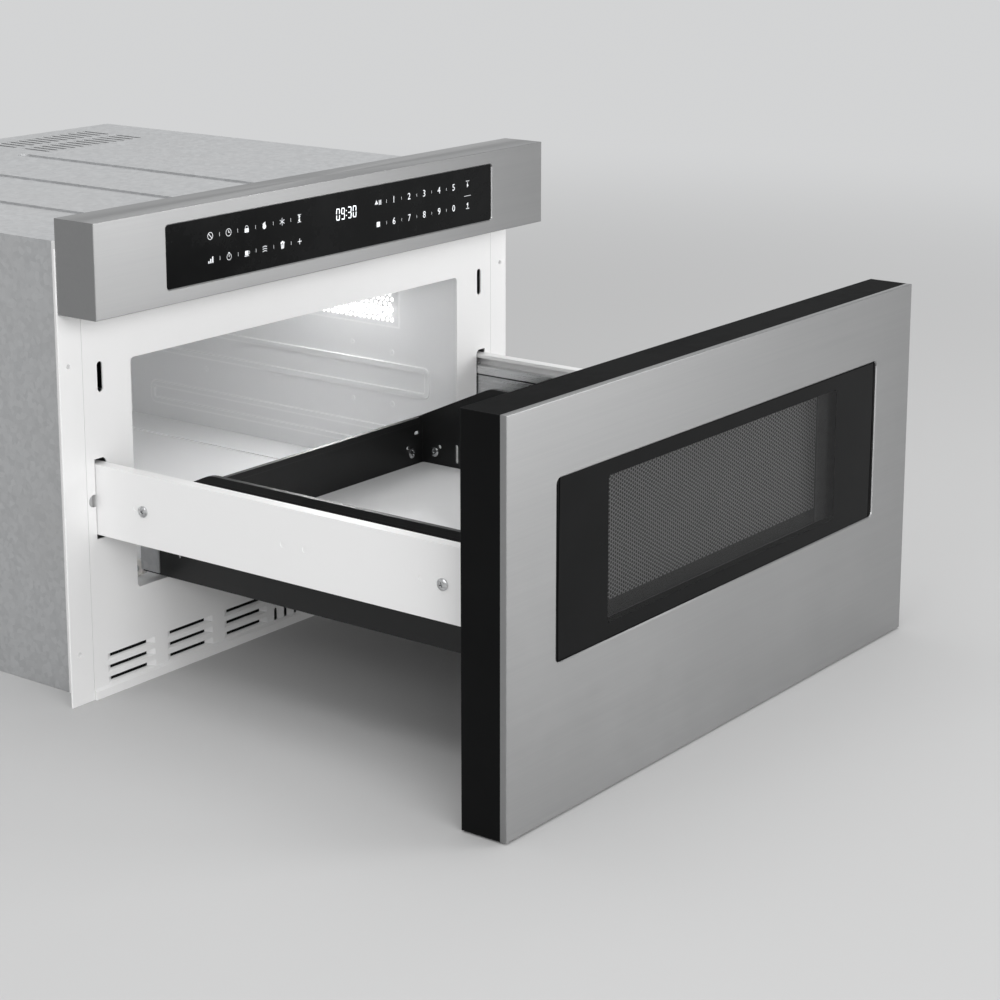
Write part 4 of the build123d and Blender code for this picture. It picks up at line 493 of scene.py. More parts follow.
# %% The pane
house_low, house_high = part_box("lamp_housing")
house_size = house_high - house_low
house_middle = (house_low + house_high) / 2
pane_t = 0.8 * MM
pane_gap = 3.0 * MM
pane = open_piece(start_block(
    (pane_t, house_size.y - pane_gap, house_size.z - pane_gap),
    (grille_high.x + 1.6 * MM, house_middle.y, house_middle.z),
))
pick_all()
bpy.ops.mesh.bevel(offset=0.25 * MM, segments=2)
close_piece(pane)
pane.name = "lamp_pane"
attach(pane, "chassis")
print("Pane:", [round(v / MM, 1) for v in pane.dimensions], "mm")

# %% [markdown]
# ## Keys and clock on the touch glass
# The touch glass has no buttons, only a pale print and a lit clock. The print is built from a few patterns: a
# bar, a disc, rings and a triangle, all 0.05 mm thick. Each is modelled once, facing the viewer, and stamped
# wherever a key or a separator needs it. The keys carry plain numbers and simple signs.

# %% Patterns for the print
glass_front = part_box("control_glass")[0].y
print_depth = 0.05 * MM


def start_disc(sides):
    return start_piece(bpy.ops.mesh.primitive_circle_add, vertices=sides, radius=1.0, fill_type="NGON")


def thicken(piece):
    pick_all()
    bpy.ops.mesh.extrude_region_move(TRANSFORM_OT_translate={"value": (0, 0, print_depth)})
    close_piece(piece)
    piece.data.transform(face_front)
    return piece


def model_ring(line):
    ring = open_piece(start_disc(32))
    pick_all()
    bpy.ops.mesh.inset(thickness=line)
    pick_faces(ring, lambda face: len(face.verts) > 4)
    bpy.ops.mesh.delete(type="FACE")
    return thicken(ring)


bar_pattern = open_piece(start_piece(bpy.ops.mesh.primitive_plane_add, size=1.0))
bpy.ops.mesh.select_mode(type="VERT")
pick_all()
bpy.ops.mesh.bevel(offset=0.12, segments=2, affect="VERTICES")
thicken(bar_pattern)
disc_pattern = thicken(open_piece(start_disc(24)))
triangle_pattern = thicken(open_piece(start_disc(3)))
ring_pattern = model_ring(0.2)
thin_ring_pattern = model_ring(0.13)
patterns = (bar_pattern, disc_pattern, triangle_pattern, ring_pattern, thin_ring_pattern)
print("Faces of the patterns:", [len(pattern.data.polygons) for pattern in patterns])

# %% [markdown]
# A stamp on the glass needs a spot, a size and a turn, all in millimetres and degrees as seen from the front.
# The helpers below put a stamp there and keep it on a list, so the whole print becomes one object at the end.
# A sign is drawn small about the middle of its key, and all its stamps are then enlarged about that spot.

# %% Stamps on the glass
row_high = 391.5
row_low = 370.9
left_columns = (-168.2, -145.8, -123.3, -101.0, -78.2, -55.8)
printed = []
sign_frame = [0.0, 0.0, 1.0]


def glass_place(x, z, wide, tall, turn=0.0):
    return (
        Matrix.Translation((x * MM, glass_front, z * MM))
        @ Matrix.Rotation(radians(-turn), 4, "Y")
        @ Matrix.Diagonal((wide * MM, 1.0, tall * MM, 1.0))
    )


def on_glass(pattern, x, z, wide, tall, turn=0.0):
    middle_x, middle_z, grow = sign_frame
    x = middle_x + (x - middle_x) * grow
    z = middle_z + (z - middle_z) * grow
    printed.append(stamp(pattern, glass_place(x, z, wide * grow, tall * grow, turn), "print"))


def line_mark(x, z, wide, tall, turn=0.0):
    on_glass(bar_pattern, x, z, wide, tall, turn)


def ring_mark(x, z, radius, pattern):
    on_glass(pattern, x, z, radius, radius)


def grow_about(x, z, grow=1.25):
    """The stamps that follow are enlarged about this spot."""
    sign_frame[:] = (x, z, grow)
    return x


for row in (row_high, row_low):
    for left, right in zip(left_columns, left_columns[1:]):
        line_mark((left + right) / 2, row, 0.3, 3.4)
print("Separators:", len(printed))

# %% [markdown]
# The left block has twelve keys. Each gets a small sign with a plain meaning: a barred ring for silence, a
# clock, a padlock, a drop, a snow star, an hourglass, and below them power bars, a kitchen timer, a cup,
# waves, a bag of corn and a plus sign.

# %% Signs of the upper left row
x = grow_about(left_columns[0], row_high)
ring_mark(x, row_high, 2.6, thin_ring_pattern)
line_mark(x, row_high, 0.45, 5.0, 45)
x = grow_about(left_columns[1], row_high)
ring_mark(x, row_high, 2.7, thin_ring_pattern)
line_mark(x, row_high + 0.8, 0.45, 1.8)
line_mark(x + 0.65, row_high, 1.4, 0.45)
x = grow_about(left_columns[2], row_high)
line_mark(x, row_high - 1.1, 4.0, 2.9)
ring_mark(x, row_high + 0.7, 1.6, ring_pattern)
x = grow_about(left_columns[3], row_high)
ring_mark(x, row_high - 0.9, 1.75, disc_pattern)
on_glass(triangle_pattern, x, row_high + 0.9, 1.75, 2.0, 90)
x = grow_about(left_columns[4], row_high)
for turn in (0, 60, 120):
    line_mark(x, row_high, 0.4, 5.4, turn)
for turn in range(30, 390, 60):
    way = radians(turn + 60)
    line_mark(x + 1.75 * cos(way), row_high + 1.75 * sin(way), 0.38, 1.25, turn - 30)
x = grow_about(left_columns[5], row_high)
on_glass(triangle_pattern, x, row_high + 1.25, 1.7, 1.3, -90)
on_glass(triangle_pattern, x, row_high - 1.25, 1.7, 1.3, 90)
for edge in (-2.6, 2.6):
    line_mark(x, row_high + edge, 3.6, 0.4)
print("Upper left signs done:", len(printed), "stamps")

# %% Signs of the lower left row
x = grow_about(left_columns[0], row_low)
for step, tall in enumerate((1.6, 3.0, 4.4)):
    line_mark(x - 1.9 + 1.9 * step, row_low - 2.2 + tall / 2, 1.1, tall)
x = grow_about(left_columns[1], row_low)
ring_mark(x, row_low - 0.4, 2.3, thin_ring_pattern)
line_mark(x, row_low + 2.4, 1.6, 0.6)
line_mark(x, row_low + 0.2, 0.42, 1.5)
x = grow_about(left_columns[2], row_low)
line_mark(x - 0.5, row_low - 0.4, 3.2, 3.2)
ring_mark(x + 1.5, row_low - 0.2, 1.15, ring_pattern)
line_mark(x - 0.5, row_low - 2.5, 4.6, 0.4)
x = grow_about(left_columns[3], row_low)
for rise in (-1.6, 0.0, 1.6):
    line_mark(x - 1.1, row_low + rise, 2.3, 0.42, 18)
    line_mark(x + 1.1, row_low + rise, 2.3, 0.42, -18)
x = grow_about(left_columns[4], row_low)
for shift, rise in ((-1.2, 1.5), (0.0, 2.1), (1.2, 1.5)):
    ring_mark(x + shift, row_low + rise, 0.85, disc_pattern)
for shift in (-1.1, 0.0, 1.1):
    line_mark(x + shift, row_low - 1.0, 0.75, 3.2, -6 * shift)
x = grow_about(left_columns[5], row_low)
line_mark(x, row_low, 4.2, 0.5)
line_mark(x, row_low, 0.5, 4.2)
print("Lower left signs done:", len(printed), "stamps")

# %% [markdown]
# To the right of the clock are the start and stop signs, the ten digits with separators between them, and the
# two keys that open and close the drawer, an arrow down and an arrow up, with a thin rule between them. The
# digits are text with the print's thickness, made a mesh, because figures built from stamps would look crude.

# %% Start, stop and the drawer's arrows
digit_columns = (74.5, 96.75, 119.0, 141.25, 163.5)
digit_low = 371.4
start_x = grow_about(52.0, row_high)
on_glass(triangle_pattern, start_x - 1.9, row_high, 2.1, 2.1)
for shift in (1.3, 3.0):
    line_mark(start_x + shift, row_high, 0.8, 3.6)
grow_about(start_x, digit_low)
line_mark(start_x, digit_low, 3.8, 3.8)
grow_about(start_x, digit_low, 1.0)
for row in (row_high, digit_low):
    line_mark((start_x + digit_columns[0]) / 2 + 0.6, row, 0.3, 3.2)
    for left, right in zip(digit_columns, digit_columns[1:]):
        line_mark((left + right) / 2, row, 0.3, 2.6)
end_x = 185.0
line_mark(end_x, 381.1, 10.5, 0.35)
for centre, way in ((392.3, -1), (371.9, 1)):
    line_mark(end_x, centre - way * 0.9, 0.6, 3.0)
    on_glass(triangle_pattern, end_x, centre + way * 1.2, 2.0, 1.7, 90 * way)
    line_mark(end_x, centre - way * 3.1, 5.0, 0.5)
print("Right block:", len(printed), "stamps")

# %% The ten digits
def digit_mark(figure, x, z):
    text = start_piece(bpy.ops.object.text_add)
    text.data.body = figure
    text.data.size = 8.8 * MM
    text.data.align_x = "CENTER"
    text.data.align_y = "CENTER"
    text.data.extrude = print_depth / 2
    bpy.ops.object.convert(target="MESH")
    place = Matrix.Translation((x * MM, glass_front - print_depth / 2, z * MM))
    bpy.context.object.data.transform(place @ face_front)
    printed.append(bpy.context.object)


for column, figure in zip(digit_columns, "12345"):
    digit_mark(figure, column, row_high)
for column, figure in zip(digit_columns, "67890"):
    digit_mark(figure, column, digit_low)
key_print = gather(printed, "key_print")
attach(key_print, "chassis")
print("Key print faces:", len(key_print.data.polygons))

# %% [markdown]
# The clock is a row of seven-segment figures that shine through the glass. One segment is a six-sided bar,
# made from a circle of six corners that is stretched in edit mode. Every figure is a choice of segments.

# %% One segment
def stretch(corner):
    way = 1 if corner.y > 0 else -1
    if abs(corner.y) < 0.9:
        corner.y += 2.2 * way
    else:
        corner.y = 3.25 * way


segment = start_disc(6)
segment.data.transform(Matrix.Rotation(radians(30), 4, "Z"))
open_piece(segment)
move_corners(segment, stretch)
thicken(segment)
print("Segment faces:", len(segment.data.polygons))

# %% The clock
clock_z = 387.9
figure_columns = (-3.9, 2.9, 12.1, 18.9)
colon_x = 7.5
half_wide, half_tall = 1.95, 2.45
line, length = 0.64, 0.66
lit = {"0": "abcdef", "3": "abcdg", "9": "abcdfg"}
spots = {
    "a": (0, 2 * half_tall, -90),
    "b": (half_wide, half_tall, 0),
    "c": (half_wide, -half_tall, 0),
    "d": (0, -2 * half_tall, -90),
    "e": (-half_wide, -half_tall, 0),
    "f": (-half_wide, half_tall, 0),
    "g": (0, 0, -90),
}
clock_parts = []
for figure, centre in zip("0930", figure_columns):
    for name in lit[figure]:
        shift, rise, turn = spots[name]
        place = glass_place(centre + shift, clock_z + rise, line, length, turn)
        clock_parts.append(stamp(segment, place, "segment"))
for rise in (-2.2, 2.2):
    clock_parts.append(stamp(disc_pattern, glass_place(colon_x, clock_z + rise, 0.6, 0.6), "colon"))
clock = gather(clock_parts, "lit_clock")
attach(clock, "chassis")
discard(segment, *patterns)
print("Clock segments:", len(clock_parts))

# %% [markdown]
# ## Finishes
# A finish is a small tree of nodes around one Principled shader. What several finishes share, such as brushed
# grain, orange peel or soft smudges, is a node group: built once, with named inputs, and placed where needed.
# All patterns read Object coordinates. Every object sits at the origin, so those are real metres, and a grain
# has the same size on every piece.

# %% Finish helpers
finishes = {}


def new_finish(name, settings=None):
    finish = bpy.data.materials.new(name)
    finish.use_nodes = True
    tree = finish.node_tree
    tree.nodes.clear()
    shader = add_node(tree, "ShaderNodeBsdfPrincipled", settings)
    add_node(tree, "ShaderNodeOutputMaterial", {0: shader.outputs[0]})
    finishes[name] = finish
    print("Finish:", name)
    return tree, shader


def start_group(name, inputs, outputs):
    """Returns the group with its inputs and the node that takes its results."""
    group = bpy.data.node_groups.new(name, "ShaderNodeTree")
    for label, value in inputs.items():
        socket = group.interface.new_socket(label, in_out="INPUT", socket_type="NodeSocketFloat")
        socket.default_value = value
    for label in outputs:
        group.interface.new_socket(label, in_out="OUTPUT", socket_type="NodeSocketFloat")
    print("Group:", name)
    return group, add_node(group, "NodeGroupInput").outputs, add_node(group, "NodeGroupOutput")


def place_group(tree, name, values):
    return add_node(tree, "ShaderNodeGroup", values, node_tree=bpy.data.node_groups[name]).outputs


def true_place(tree):
    return add_node(tree, "ShaderNodeTexCoord").outputs["Object"]


def split_place(tree):
    return add_node(tree, "ShaderNodeSeparateXYZ", {0: true_place(tree)}).outputs


def paint(shader, tone, roughness):
    feed(shader, {"Base Color": tone, "Roughness": roughness})


def raise_bump(shader, height, distance, strength):
    bump = {"Height": height, "Distance": distance, "Strength": strength}
    feed(shader, {"Normal": add_node(shader.id_data, "ShaderNodeBump", bump).outputs[0]})


print("Finish helpers ready")

# %% [markdown]
# Brushed or rolled metal has fine parallel lines. The group stretches noise along one axis, in two widths:
# hair lines and broader strokes. Its inputs say how long a line is along X, Y and Z, so the same group can
# brush the steel fronts across and the slide rails lengthwise.

# %% The grain group
tree, given, result = start_group(
    "directional_grain", {"Along X": 1.0, "Along Y": 1.0, "Along Z": 1.0}, ("Hair", "Stroke")
)
lengths = add_node(tree, "ShaderNodeCombineXYZ", {axis: given[axis] for axis in range(3)}).outputs[0]
stretched = add_node(tree, "ShaderNodeVectorMath", {0: true_place(tree), 1: lengths}, operation="DIVIDE")
hair = speckle(tree, stretched.outputs[0], 1.0, 3.0, 0.6)
stroke = speckle(tree, stretched.outputs[0], 0.22, 3.0, 0.55)
feed(result, {"Hair": hair, "Stroke": stroke})

# %% [markdown]
# Nothing that is handled stays evenly clean. The smudge group mixes broad soft clouds with smaller ones and
# keeps their upper part, as a mask that makes a gloss a little duller here and there. The broad clouds are
# its second result, and vary a colour.

# %% The smudge group
tree, given, result = start_group("hand_smudges", {"Size": 0.1}, ("Mask", "Cloud"))
place = true_place(tree)
scale = calculate(tree, "DIVIDE", 1.0, given["Size"])
broad = speckle(tree, place, scale, 3.0, 0.6)
small = speckle(tree, place, calculate(tree, "MULTIPLY", scale, 6.0), 4.0, 0.7)
mixed = calculate(tree, "MULTIPLY", broad, calculate(tree, "ADD", small, 0.5))
feed(result, {"Mask": respan(tree, mixed, 0.0, 1.0, 0.42, 0.75), "Cloud": broad})


def smudges(tree, size):
    return place_group(tree, "hand_smudges", {"Size": size})


def clouded(tree, size, dark, light, low, high):
    """Clouds between two tones for the colour, and smudges between two values for the roughness."""
    smudge = smudges(tree, size)
    return between(tree, smudge["Cloud"], dark, light), respan(tree, smudge["Mask"], low, high)


def smudged(tree, roughness, size, more):
    """Smudges make a roughness a little larger."""
    return calculate(tree, "ADD", roughness, calculate(tree, "MULTIPLY", smudges(tree, size)["Mask"], more))


print("Smudge helpers ready")

# %% [markdown]
# Enamel and powder paint flow into tiny hills, called orange peel, and moulded plastic has a fine even
# texture. Both are the same kind of height: noise at a given size, with a finer layer on top. The finer layer
# also gives a mask of specks.

# %% The texture group
tree, given, result = start_group("surface_texture", {"Size": 0.002, "Fine": 0.3}, ("Height", "Speck"))
place = true_place(tree)
scale = calculate(tree, "DIVIDE", 1.0, given["Size"])
hills = speckle(tree, place, scale, 1.0, 0.4)
grit = speckle(tree, place, calculate(tree, "MULTIPLY", scale, 5.0), 2.0, 0.6)
layered = calculate(tree, "ADD", hills, calculate(tree, "MULTIPLY", grit, given["Fine"]))
feed(result, {"Height": layered, "Speck": respan(tree, grit, 0.0, 1.0, 0.55, 0.8)})


def texture(shader, size, fine, distance, strength):
    """Raises the texture as a bump and returns its specks."""
    peel = place_group(shader.id_data, "surface_texture", {"Size": size, "Fine": fine})
    raise_bump(shader, peel["Height"], distance, strength)
    return peel["Speck"]


print("Texture helper ready")

# %% [markdown]
# Corners wear first, because the coat is thinner and rounder there. The edge group compares a softened normal
# with the true one and gives a thin mask along every sharp edge, where a paler tone is painted: partly wear,
# partly a painted highlight.

# %% The edge group
tree, given, result = start_group("edges_worn_and_lit", {"Reach": 0.001}, ("Mask",))
soft = add_node(tree, "ShaderNodeBevel", {"Radius": given["Reach"]}, samples=4).outputs[0]
true_side = add_node(tree, "ShaderNodeNewGeometry").outputs["Normal"]
likeness = add_node(tree, "ShaderNodeVectorMath", {0: soft, 1: true_side}, operation="DOT_PRODUCT")
feed(result, {"Mask": respan(tree, likeness.outputs["Value"], 1.0, 0.0, 0.82, 1.0)})


def wear_and_highlight_edges(tree, ground, reach, amount, tone):
    """Another tone along the edges: partly wear, partly a painted highlight."""
    edge = place_group(tree, "edges_worn_and_lit", {"Reach": reach})["Mask"]
    return between(tree, calculate(tree, "MULTIPLY", edge, amount), ground, tone)


print("Edge helper ready")

# %% [markdown]
# ## Steel
# The fronts are stainless sheet, brushed across the width and finished satin. Hair lines change the colour
# and the gloss only a little, the strokes add slow streaks, and a faint bump spreads each highlight upwards
# and downwards. Smudges dull the gloss in soft patches.

# %% Brushed stainless
brushed = {"Metallic": 1.0, "Anisotropic": 0.75, "Anisotropic Rotation": 0.25}
tree, shader = new_finish("brushed_stainless", brushed)
grain = place_group(tree, "directional_grain", {"Along X": 0.11, "Along Y": 0.0006, "Along Z": 0.0006})
hairs = calculate(tree, "MULTIPLY", grain["Hair"], 0.55)
streaks = calculate(tree, "ADD", hairs, calculate(tree, "MULTIPLY", grain["Stroke"], 0.45))
bright = respan(tree, streaks, 0.0, 1.0, 0.36, 0.64)
tone = between(tree, bright, grey(0.305, -0.004), grey(0.32, -0.002))
gloss = respan(tree, streaks, 0.355, 0.38, 0.36, 0.64)
paint(shader, tone, smudged(tree, gloss, 0.13, 0.03))
raise_bump(shader, streaks, 0.00002, 0.12)

# %% [markdown]
# The slides are zinc-plated strip, rolled lengthwise. The middle members show a dark groove along their
# length, and the part above it is lighter. Both are bands at a height in metres, laid over the same zinc: the
# groove's dark line is painted shade, because a groove as narrow as this reads as a line and needs no depth,
# and the lighter band above it is a painted highlight.

# %% Zinc on the slides
def rolled_zinc(name, low, high):
    """Returns the tree, the shader and the zinc's own tone."""
    tree, shader = new_finish(name, {"Metallic": 1.0})
    grain = place_group(tree, "directional_grain", {"Along X": 0.0005, "Along Y": 0.06, "Along Z": 0.0005})
    bright = respan(tree, grain["Stroke"], 0.0, 1.0, 0.35, 0.65)
    zinc = between(tree, bright, grey(0.64, -0.01), grey(0.68, -0.012))
    paint(shader, zinc, smudged(tree, respan(tree, grain["Hair"], low, high, 0.3, 0.7), 0.05, 0.06))
    raise_bump(shader, grain["Hair"], 0.00001, 0.2)
    return tree, shader, zinc


rolled_zinc("zinc_slide", 0.2, 0.26)
tree, shader, zinc = rolled_zinc("middle_member", 0.24, 0.32)
height = split_place(tree)["Z"]
above_foot = respan(tree, height, 0.0, 1.0, 0.1854, 0.1858)
below_top = respan(tree, height, 1.0, 0.0, 0.1868, 0.1872)
# The groove's dark line is painted shade, and the lighter band above it is a painted highlight.
groove_shade = calculate(tree, "MULTIPLY", below_top, above_foot)
above_top = respan(tree, height, 0.0, 1.0, 0.1872, 0.1876)
lit_upper_band = between(tree, above_top, zinc, grey(0.80, -0.004))
feed(shader, {"Base Color": between(tree, groove_shade, lit_upper_band, grey(0.05))})

# %% [markdown]
# The chassis is galvanised sheet, whose zinc froze in flat crystals. A Voronoi pattern gives each crystal its
# own brightness, gloss and height, and a little noise bends the borders between them.

# %% Galvanised sheet
tree, shader = new_finish("galvanised", {"Metallic": 1.0})
place = true_place(tree)
wander = add_node(tree, "ShaderNodeTexNoise", {"Vector": place, "Scale": 90.0}).outputs["Color"]
bend = {0: wander, 1: (0.003, 0.003, 0.003), 2: place}
bent = add_node(tree, "ShaderNodeVectorMath", bend, operation="MULTIPLY_ADD").outputs[0]
crystal = add_node(tree, "ShaderNodeTexVoronoi", {"Vector": bent, "Scale": 210.0}, feature="F1")
facet = add_node(tree, "ShaderNodeSeparateColor", {0: crystal.outputs["Color"]}).outputs
shade = between(tree, facet[0], grey(0.51, -0.012), grey(0.575, -0.01))
dull = calculate(tree, "MULTIPLY", smudges(tree, 0.2)["Mask"], 0.35)
paint(shader, between(tree, dull, shade, grey(0.52, 0.004)), respan(tree, facet[1], 0.52, 0.62))
raise_bump(shader, facet[2], 0.00004, 0.3)

# %% [markdown]
# ## Enamel and paint
# The front frame, its flanges and the rail covers are satin white paint over sheet steel. The cavity is a
# light grey enamel with a few darker specks, and a painted highlight makes it lighter along the beads and
# dimples pressed into its walls. The box is satin black enamel whose edges are paler, partly from wear and
# partly from a painted highlight.

# %% White enamel
tree, shader = new_finish("white_enamel", {"Coat Weight": 0.1, "Coat Roughness": 0.3})
paint(shader, *clouded(tree, 0.12, grey(0.845, 0.003), grey(0.86, 0.002), 0.36, 0.42))
texture(shader, 0.0022, 0.2, 0.00003, 0.5)

# %% Cavity enamel
tree, shader = new_finish("cavity_enamel", {"Coat Weight": 0.25, "Coat Roughness": 0.15})
speck = texture(shader, 0.003, 0.35, 0.00004, 0.5)
ground, dull = clouded(tree, 0.09, grey(0.77, -0.005), grey(0.80, -0.004), 0.28, 0.36)
specked = between(tree, calculate(tree, "MULTIPLY", speck, 0.2), ground, grey(0.66, -0.008))
# Along the beads and dimples the edge mask paints a lighter tone, a painted highlight.
paint(shader, wear_and_highlight_edges(tree, specked, 0.0028, 0.8, grey(0.95, -0.002)), dull)

# %% Black enamel of the box
tree, shader = new_finish("black_enamel", {"Specular IOR Level": 0.32})
ground, dull = clouded(tree, 0.07, grey(0.009, -0.02), grey(0.013, -0.02), 0.38, 0.48)
# The box's paler edges are partly wear, partly a painted highlight.
paint(shader, wear_and_highlight_edges(tree, ground, 0.0011, 0.6, grey(0.06, -0.01)), dull)
texture(shader, 0.0016, 0.5, 0.00004, 0.5)

# %% [markdown]
# ## Plastics
# The drawer front's frame, the cover inside it and the small housings are black moulded plastic with a fine
# satin texture. Nylon is used where pieces run on each other. The pale sheet under the stirrer has flecks.

# %% Black plastic
tree, shader = new_finish("black_plastic", {"Specular IOR Level": 0.02})
ground, dull = clouded(tree, 0.08, grey(0.005, -0.02), grey(0.009, -0.02), 0.56, 0.64)
# The paler edges of the plastic are partly wear, partly a painted highlight.
paint(shader, wear_and_highlight_edges(tree, ground, 0.0012, 0.5, grey(0.045, -0.01)), dull)
texture(shader, 0.0007, 0.8, 0.00003, 0.6)

# %% Nylon and the pale cover sheet
milky = {"Subsurface Weight": 0.1, "Subsurface Radius": (0.002, 0.0017, 0.0012), "Subsurface Scale": 0.5}
tree, shader = new_finish("nylon", milky)
speck = texture(shader, 0.0012, 0.5, 0.00003, 0.4)
ground = between(tree, smudges(tree, 0.03)["Cloud"], grey(0.66, 0.04), grey(0.76, 0.02))
paint(shader, ground, respan(tree, speck, 0.36, 0.5))
tree, shader = new_finish("cover_plastic")
speck = texture(shader, 0.006, 0.9, 0.00005, 0.4)
ground = between(tree, smudges(tree, 0.04)["Cloud"], grey(0.60, 0.05), grey(0.72, 0.03))
flecked = between(tree, calculate(tree, "MULTIPLY", speck, 0.5), ground, grey(0.80, 0.01))
paint(shader, flecked, respan(tree, speck, 0.5, 0.3))

# %% [markdown]
# ## Glass
# The touch glass is printed black from behind, so it is an opaque satin black whose shine is duller where
# fingers go. The window glass is smoked. Its alpha lets about two thirds of the light through each of its two
# faces, so less than half through both, and the fine screen behind it stays crisp. The black border is the
# ring made above. The plate in the box is white glass-ceramic with a deep gloss.

# %% Black touch glass and the window's border print
tree, shader = new_finish("black_glass", {"Specular IOR Level": 0.07})
paint(shader, *clouded(tree, 0.05, grey(0.004, -0.03), grey(0.008, -0.03), 0.24, 0.34))
tree, shader = new_finish("fired_black_print", {"Specular IOR Level": 0.06})
paint(shader, *clouded(tree, 0.06, grey(0.005, -0.02), grey(0.008, -0.02), 0.12, 0.24))

# %% Window glass
tree, shader = new_finish("window_glass")
smudge = smudges(tree, 0.07)
smoke = between(tree, smudge["Cloud"], grey(0.004, -0.02), grey(0.008, -0.02))
paint(shader, smoke, respan(tree, smudge["Mask"], 0.02, 0.08))
feed(shader, {"Alpha": respan(tree, smudge["Cloud"], 0.34, 0.36)})

# %% Glass-ceramic plate
tree, shader = new_finish("glass_ceramic", {"Coat Weight": 0.5, "Coat Roughness": 0.04})
paint(shader, *clouded(tree, 0.1, grey(0.85, -0.005), grey(0.88, -0.004), 0.1, 0.24))
texture(shader, 0.01, 0.3, 0.00004, 0.3)

# %% [markdown]
# ## The window's screen
# A perforated steel sheet behind the glass keeps the microwaves in. Its holes stand in staggered rows. Such
# small holes by the thousand would be a very heavy mesh, so a group draws them. It folds space into the cells
# of two grids, one shifted by half a cell both ways, and measures the way to the nearest cell's middle.

# %% The perforation group
tree, given, result = start_group("staggered_holes", {"Pitch": 0.002, "Hole": 0.0013}, ("Open", "Rim"))
where = split_place(tree)
row_step = calculate(tree, "MULTIPLY", given["Pitch"], sqrt(3))
ways = []
for shift in (0.0, 0.5):
    squares = []
    for socket, step in ((where["X"], row_step), (where["Z"], given["Pitch"])):
        cells = calculate(tree, "ADD", calculate(tree, "DIVIDE", socket, step), shift + 100.0)
        inside = calculate(tree, "SUBTRACT", calculate(tree, "FRACT", cells), 0.5)
        offset = calculate(tree, "ABSOLUTE", calculate(tree, "MULTIPLY", inside, step))
        squares.append(calculate(tree, "POWER", offset, 2.0))
    ways.append(calculate(tree, "SQRT", calculate(tree, "ADD", squares[0], squares[1])))
nearest = calculate(tree, "MINIMUM", ways[0], ways[1])
share = calculate(tree, "DIVIDE", nearest, calculate(tree, "MULTIPLY", given["Hole"], 0.5))
hole = respan(tree, share, 1.0, 0.0, 0.9, 1.1)
rim = respan(tree, share, 1.0, 0.0, 1.0, 1.5)
feed(result, {"Open": hole, "Rim": rim})

# %% [markdown]
# Along its lower and its right edge the screen isn't pierced, and a plain dark strip shows there. Each strip
# is a mask, one on the height and one on the width, and lies over the pattern of holes.

# %% Screen steel
tree, shader = new_finish("screen_steel")
holes = place_group(tree, "staggered_holes", {"Pitch": 0.0034, "Hole": 0.0025})
sheet_tone = between(tree, smudges(tree, 0.12)["Cloud"], grey(0.42), grey(0.50))
pierced = between(tree, holes["Open"], sheet_tone, grey(0.008))
where = split_place(tree)
low_strip = respan(tree, where["Z"], 1.0, 0.0, 0.1418, 0.1422)
right_strip = respan(tree, where["X"], 0.0, 1.0, 0.1755, 0.1759)
plain_strip = calculate(tree, "MAXIMUM", low_strip, right_strip)
paint(shader, between(tree, plain_strip, pierced, grey(0.04)), respan(tree, holes["Rim"], 0.5, 0.35))

# %% [markdown]
# ## Small metal
# Screws are bright plated steel with fine turning lines. The stirrer is bare aluminium, the pinion machined
# steel, and the transformer a stack of varnished sheets, which shows as fine parallel lines.

# %% Screws, stirrer and pinion
def turned_metal(name, dark, light, low, high, size):
    tree, shader = new_finish(name, {"Metallic": 1.0})
    lines = {"Along X": size, "Along Y": size * 1.7, "Along Z": size * 0.6}
    grain = place_group(tree, "directional_grain", lines)
    tone = between(tree, grain["Stroke"], grey(dark, -0.01), grey(light, -0.01))
    paint(shader, tone, smudged(tree, respan(tree, grain["Hair"], low, high), size * 20, 0.08))
    raise_bump(shader, grain["Hair"], 0.00002, 0.4)


turned_metal("chrome_screw", 0.20, 0.90, 0.10, 0.22, 0.0007)
turned_metal("bare_aluminium", 0.66, 0.80, 0.3, 0.42, 0.004)
turned_metal("gear_steel", 0.36, 0.50, 0.26, 0.4, 0.001)

# %% Transformer laminations
tree, shader = new_finish("transformer_steel", {"Metallic": 0.6})
bands = {"Vector": true_place(tree), "Scale": 320.0, "Distortion": 0.4}
sheets = add_node(tree, "ShaderNodeTexWave", bands, wave_type="BANDS", bands_direction="Y").outputs["Fac"]
brown, pale_brown = (0.055, 0.032, 0.02, 1.0), (0.11, 0.075, 0.05, 1.0)
varnish, dull = clouded(tree, 0.03, brown, pale_brown, 0.3, 0.55)
paint(shader, between(tree, calculate(tree, "MULTIPLY", sheets, 0.6), varnish, grey(0.16, 0.02)), dull)
raise_bump(shader, sheets, 0.0001, 0.5)

# %% [markdown]
# The control board is green solder mask over copper tracks. The tracks are the borders of a square Voronoi
# pattern, raised a little and lighter than the ground.

# %% Circuit board
tree, shader = new_finish("circuit_board")
squares = {"Vector": true_place(tree), "Scale": 160.0}
tracks = add_node(tree, "ShaderNodeTexVoronoi", squares, feature="F1", distance="CHEBYCHEV")
track = respan(tree, tracks.outputs["Distance"], 0.0, 1.0, 0.36, 0.42)
green, pale_green, track_green = (0.008, 0.075, 0.03, 1.0), (0.014, 0.11, 0.045, 1.0), (0.05, 0.22, 0.09, 1.0)
mask_tone = between(tree, smudges(tree, 0.04)["Cloud"], green, pale_green)
paint(shader, between(tree, track, mask_tone, track_green), respan(tree, track, 0.42, 0.28))
raise_bump(shader, track, 0.00005, 0.5)

# %% [markdown]
# ## Light in the object
# The oven lamp is on. The bulb and the frosted pane glow a warm white. The clock's segments glow too, and the
# key print has a faint painted glow, with no lamp behind it. Each has a slight unevenness, as real lit glass
# has.

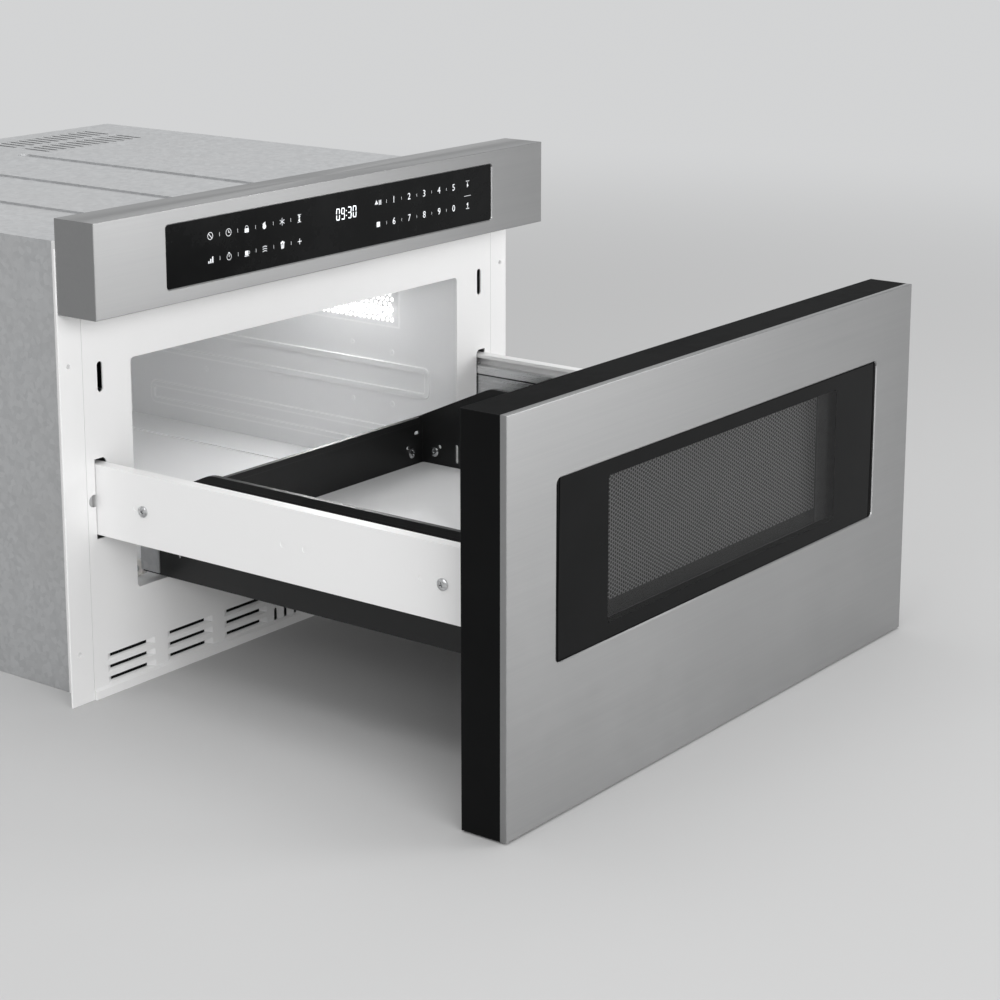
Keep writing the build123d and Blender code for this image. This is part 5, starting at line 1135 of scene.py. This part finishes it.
# %% Lamp, clock and key print
def glowing(name, tone, dim, full, strength, size, roughness):
    tree, shader = new_finish(name, {"Emission Strength": strength})
    shade = tuple(v * dim for v in tone) + (1.0,)
    bright = tuple(v * full for v in tone) + (1.0,)
    glow, dull = clouded(tree, size, shade, bright, roughness, roughness + 0.2)
    paint(shader, glow, dull)
    feed(shader, {"Emission Color": glow})


glowing("lamp_glass", (1.0, 0.985, 0.96), 0.85, 1.0, 1.9, 0.03, 0.3)
glowing("clock_light", (0.93, 0.97, 1.0), 0.8, 1.0, 0.9, 0.02, 0.4)
# The key print has no lamp behind it, so its faint glow is painted light.
glowing("key_print_painted_glow", (0.95, 0.97, 1.0), 0.66, 0.78, 0.55, 0.02, 0.45)

# %% [markdown]
# ## Dressing the pieces
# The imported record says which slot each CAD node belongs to, and each finish has the name of its slot. So
# one loop hands the finishes out. The middle slide members and the new pieces get theirs by name.

# %% Hand out the finishes
for part in frame["record"]["subparts"]:
    piece = frame["nodes"][part["node"]]
    name = part["material_slot"]
    if part["node"] in ("slide_middle_left", "slide_middle_right"):
        name = "middle_member"
    for socket in piece.material_slots:
        socket.material = finishes[name]
    if not piece.material_slots:
        piece.data.materials.append(finishes[name])
new_pieces = (
    (louvre_shade_strips, "black_plastic"),
    (box_screws, "chrome_screw"),
    (border, "fired_black_print"),
    (pane, "lamp_glass"),
    (key_print, "key_print_painted_glow"),
    (clock, "clock_light"),
)
for piece, name in new_pieces:
    piece.data.materials.clear()
    piece.data.materials.append(finishes[name])

# %% [markdown]
# The floor is matt and pale. Near the object it is lit by the lamps and takes the shadow. Far out, where the
# lamps don't reach, it turns into the room's own pale tone for the camera and for reflections, so that it
# has one even tone up to the edge of the picture.

# %% The floor's finish
tree, shader = new_finish("studio_floor", {"Roughness": 0.75, "Specular IOR Level": 0.2})
feed(shader, {"Base Color": between(tree, smudges(tree, 0.8)["Cloud"], grey(0.545), grey(0.555))})
away = add_node(tree, "ShaderNodeVectorMath", {0: true_place(tree)}, operation="LENGTH").outputs["Value"]
fade = {"Value": away, "From Min": 0.9, "From Max": 3.2}
far = add_node(tree, "ShaderNodeMapRange", fade, interpolation_type="SMOOTHSTEP").outputs["Result"]
far_seen = calculate(tree, "MULTIPLY", far, looked_at(tree))
far_tone = add_node(tree, "ShaderNodeEmission", {"Color": pale_tone}).outputs[0]
blend = add_node(tree, "ShaderNodeMixShader", {0: far_seen, 1: shader.outputs[0], 2: far_tone})
feed(tree.nodes["Material Output"], {0: blend.outputs[0]})
floor.data.materials.append(finishes["studio_floor"])
print("Floor finish on", floor.name)
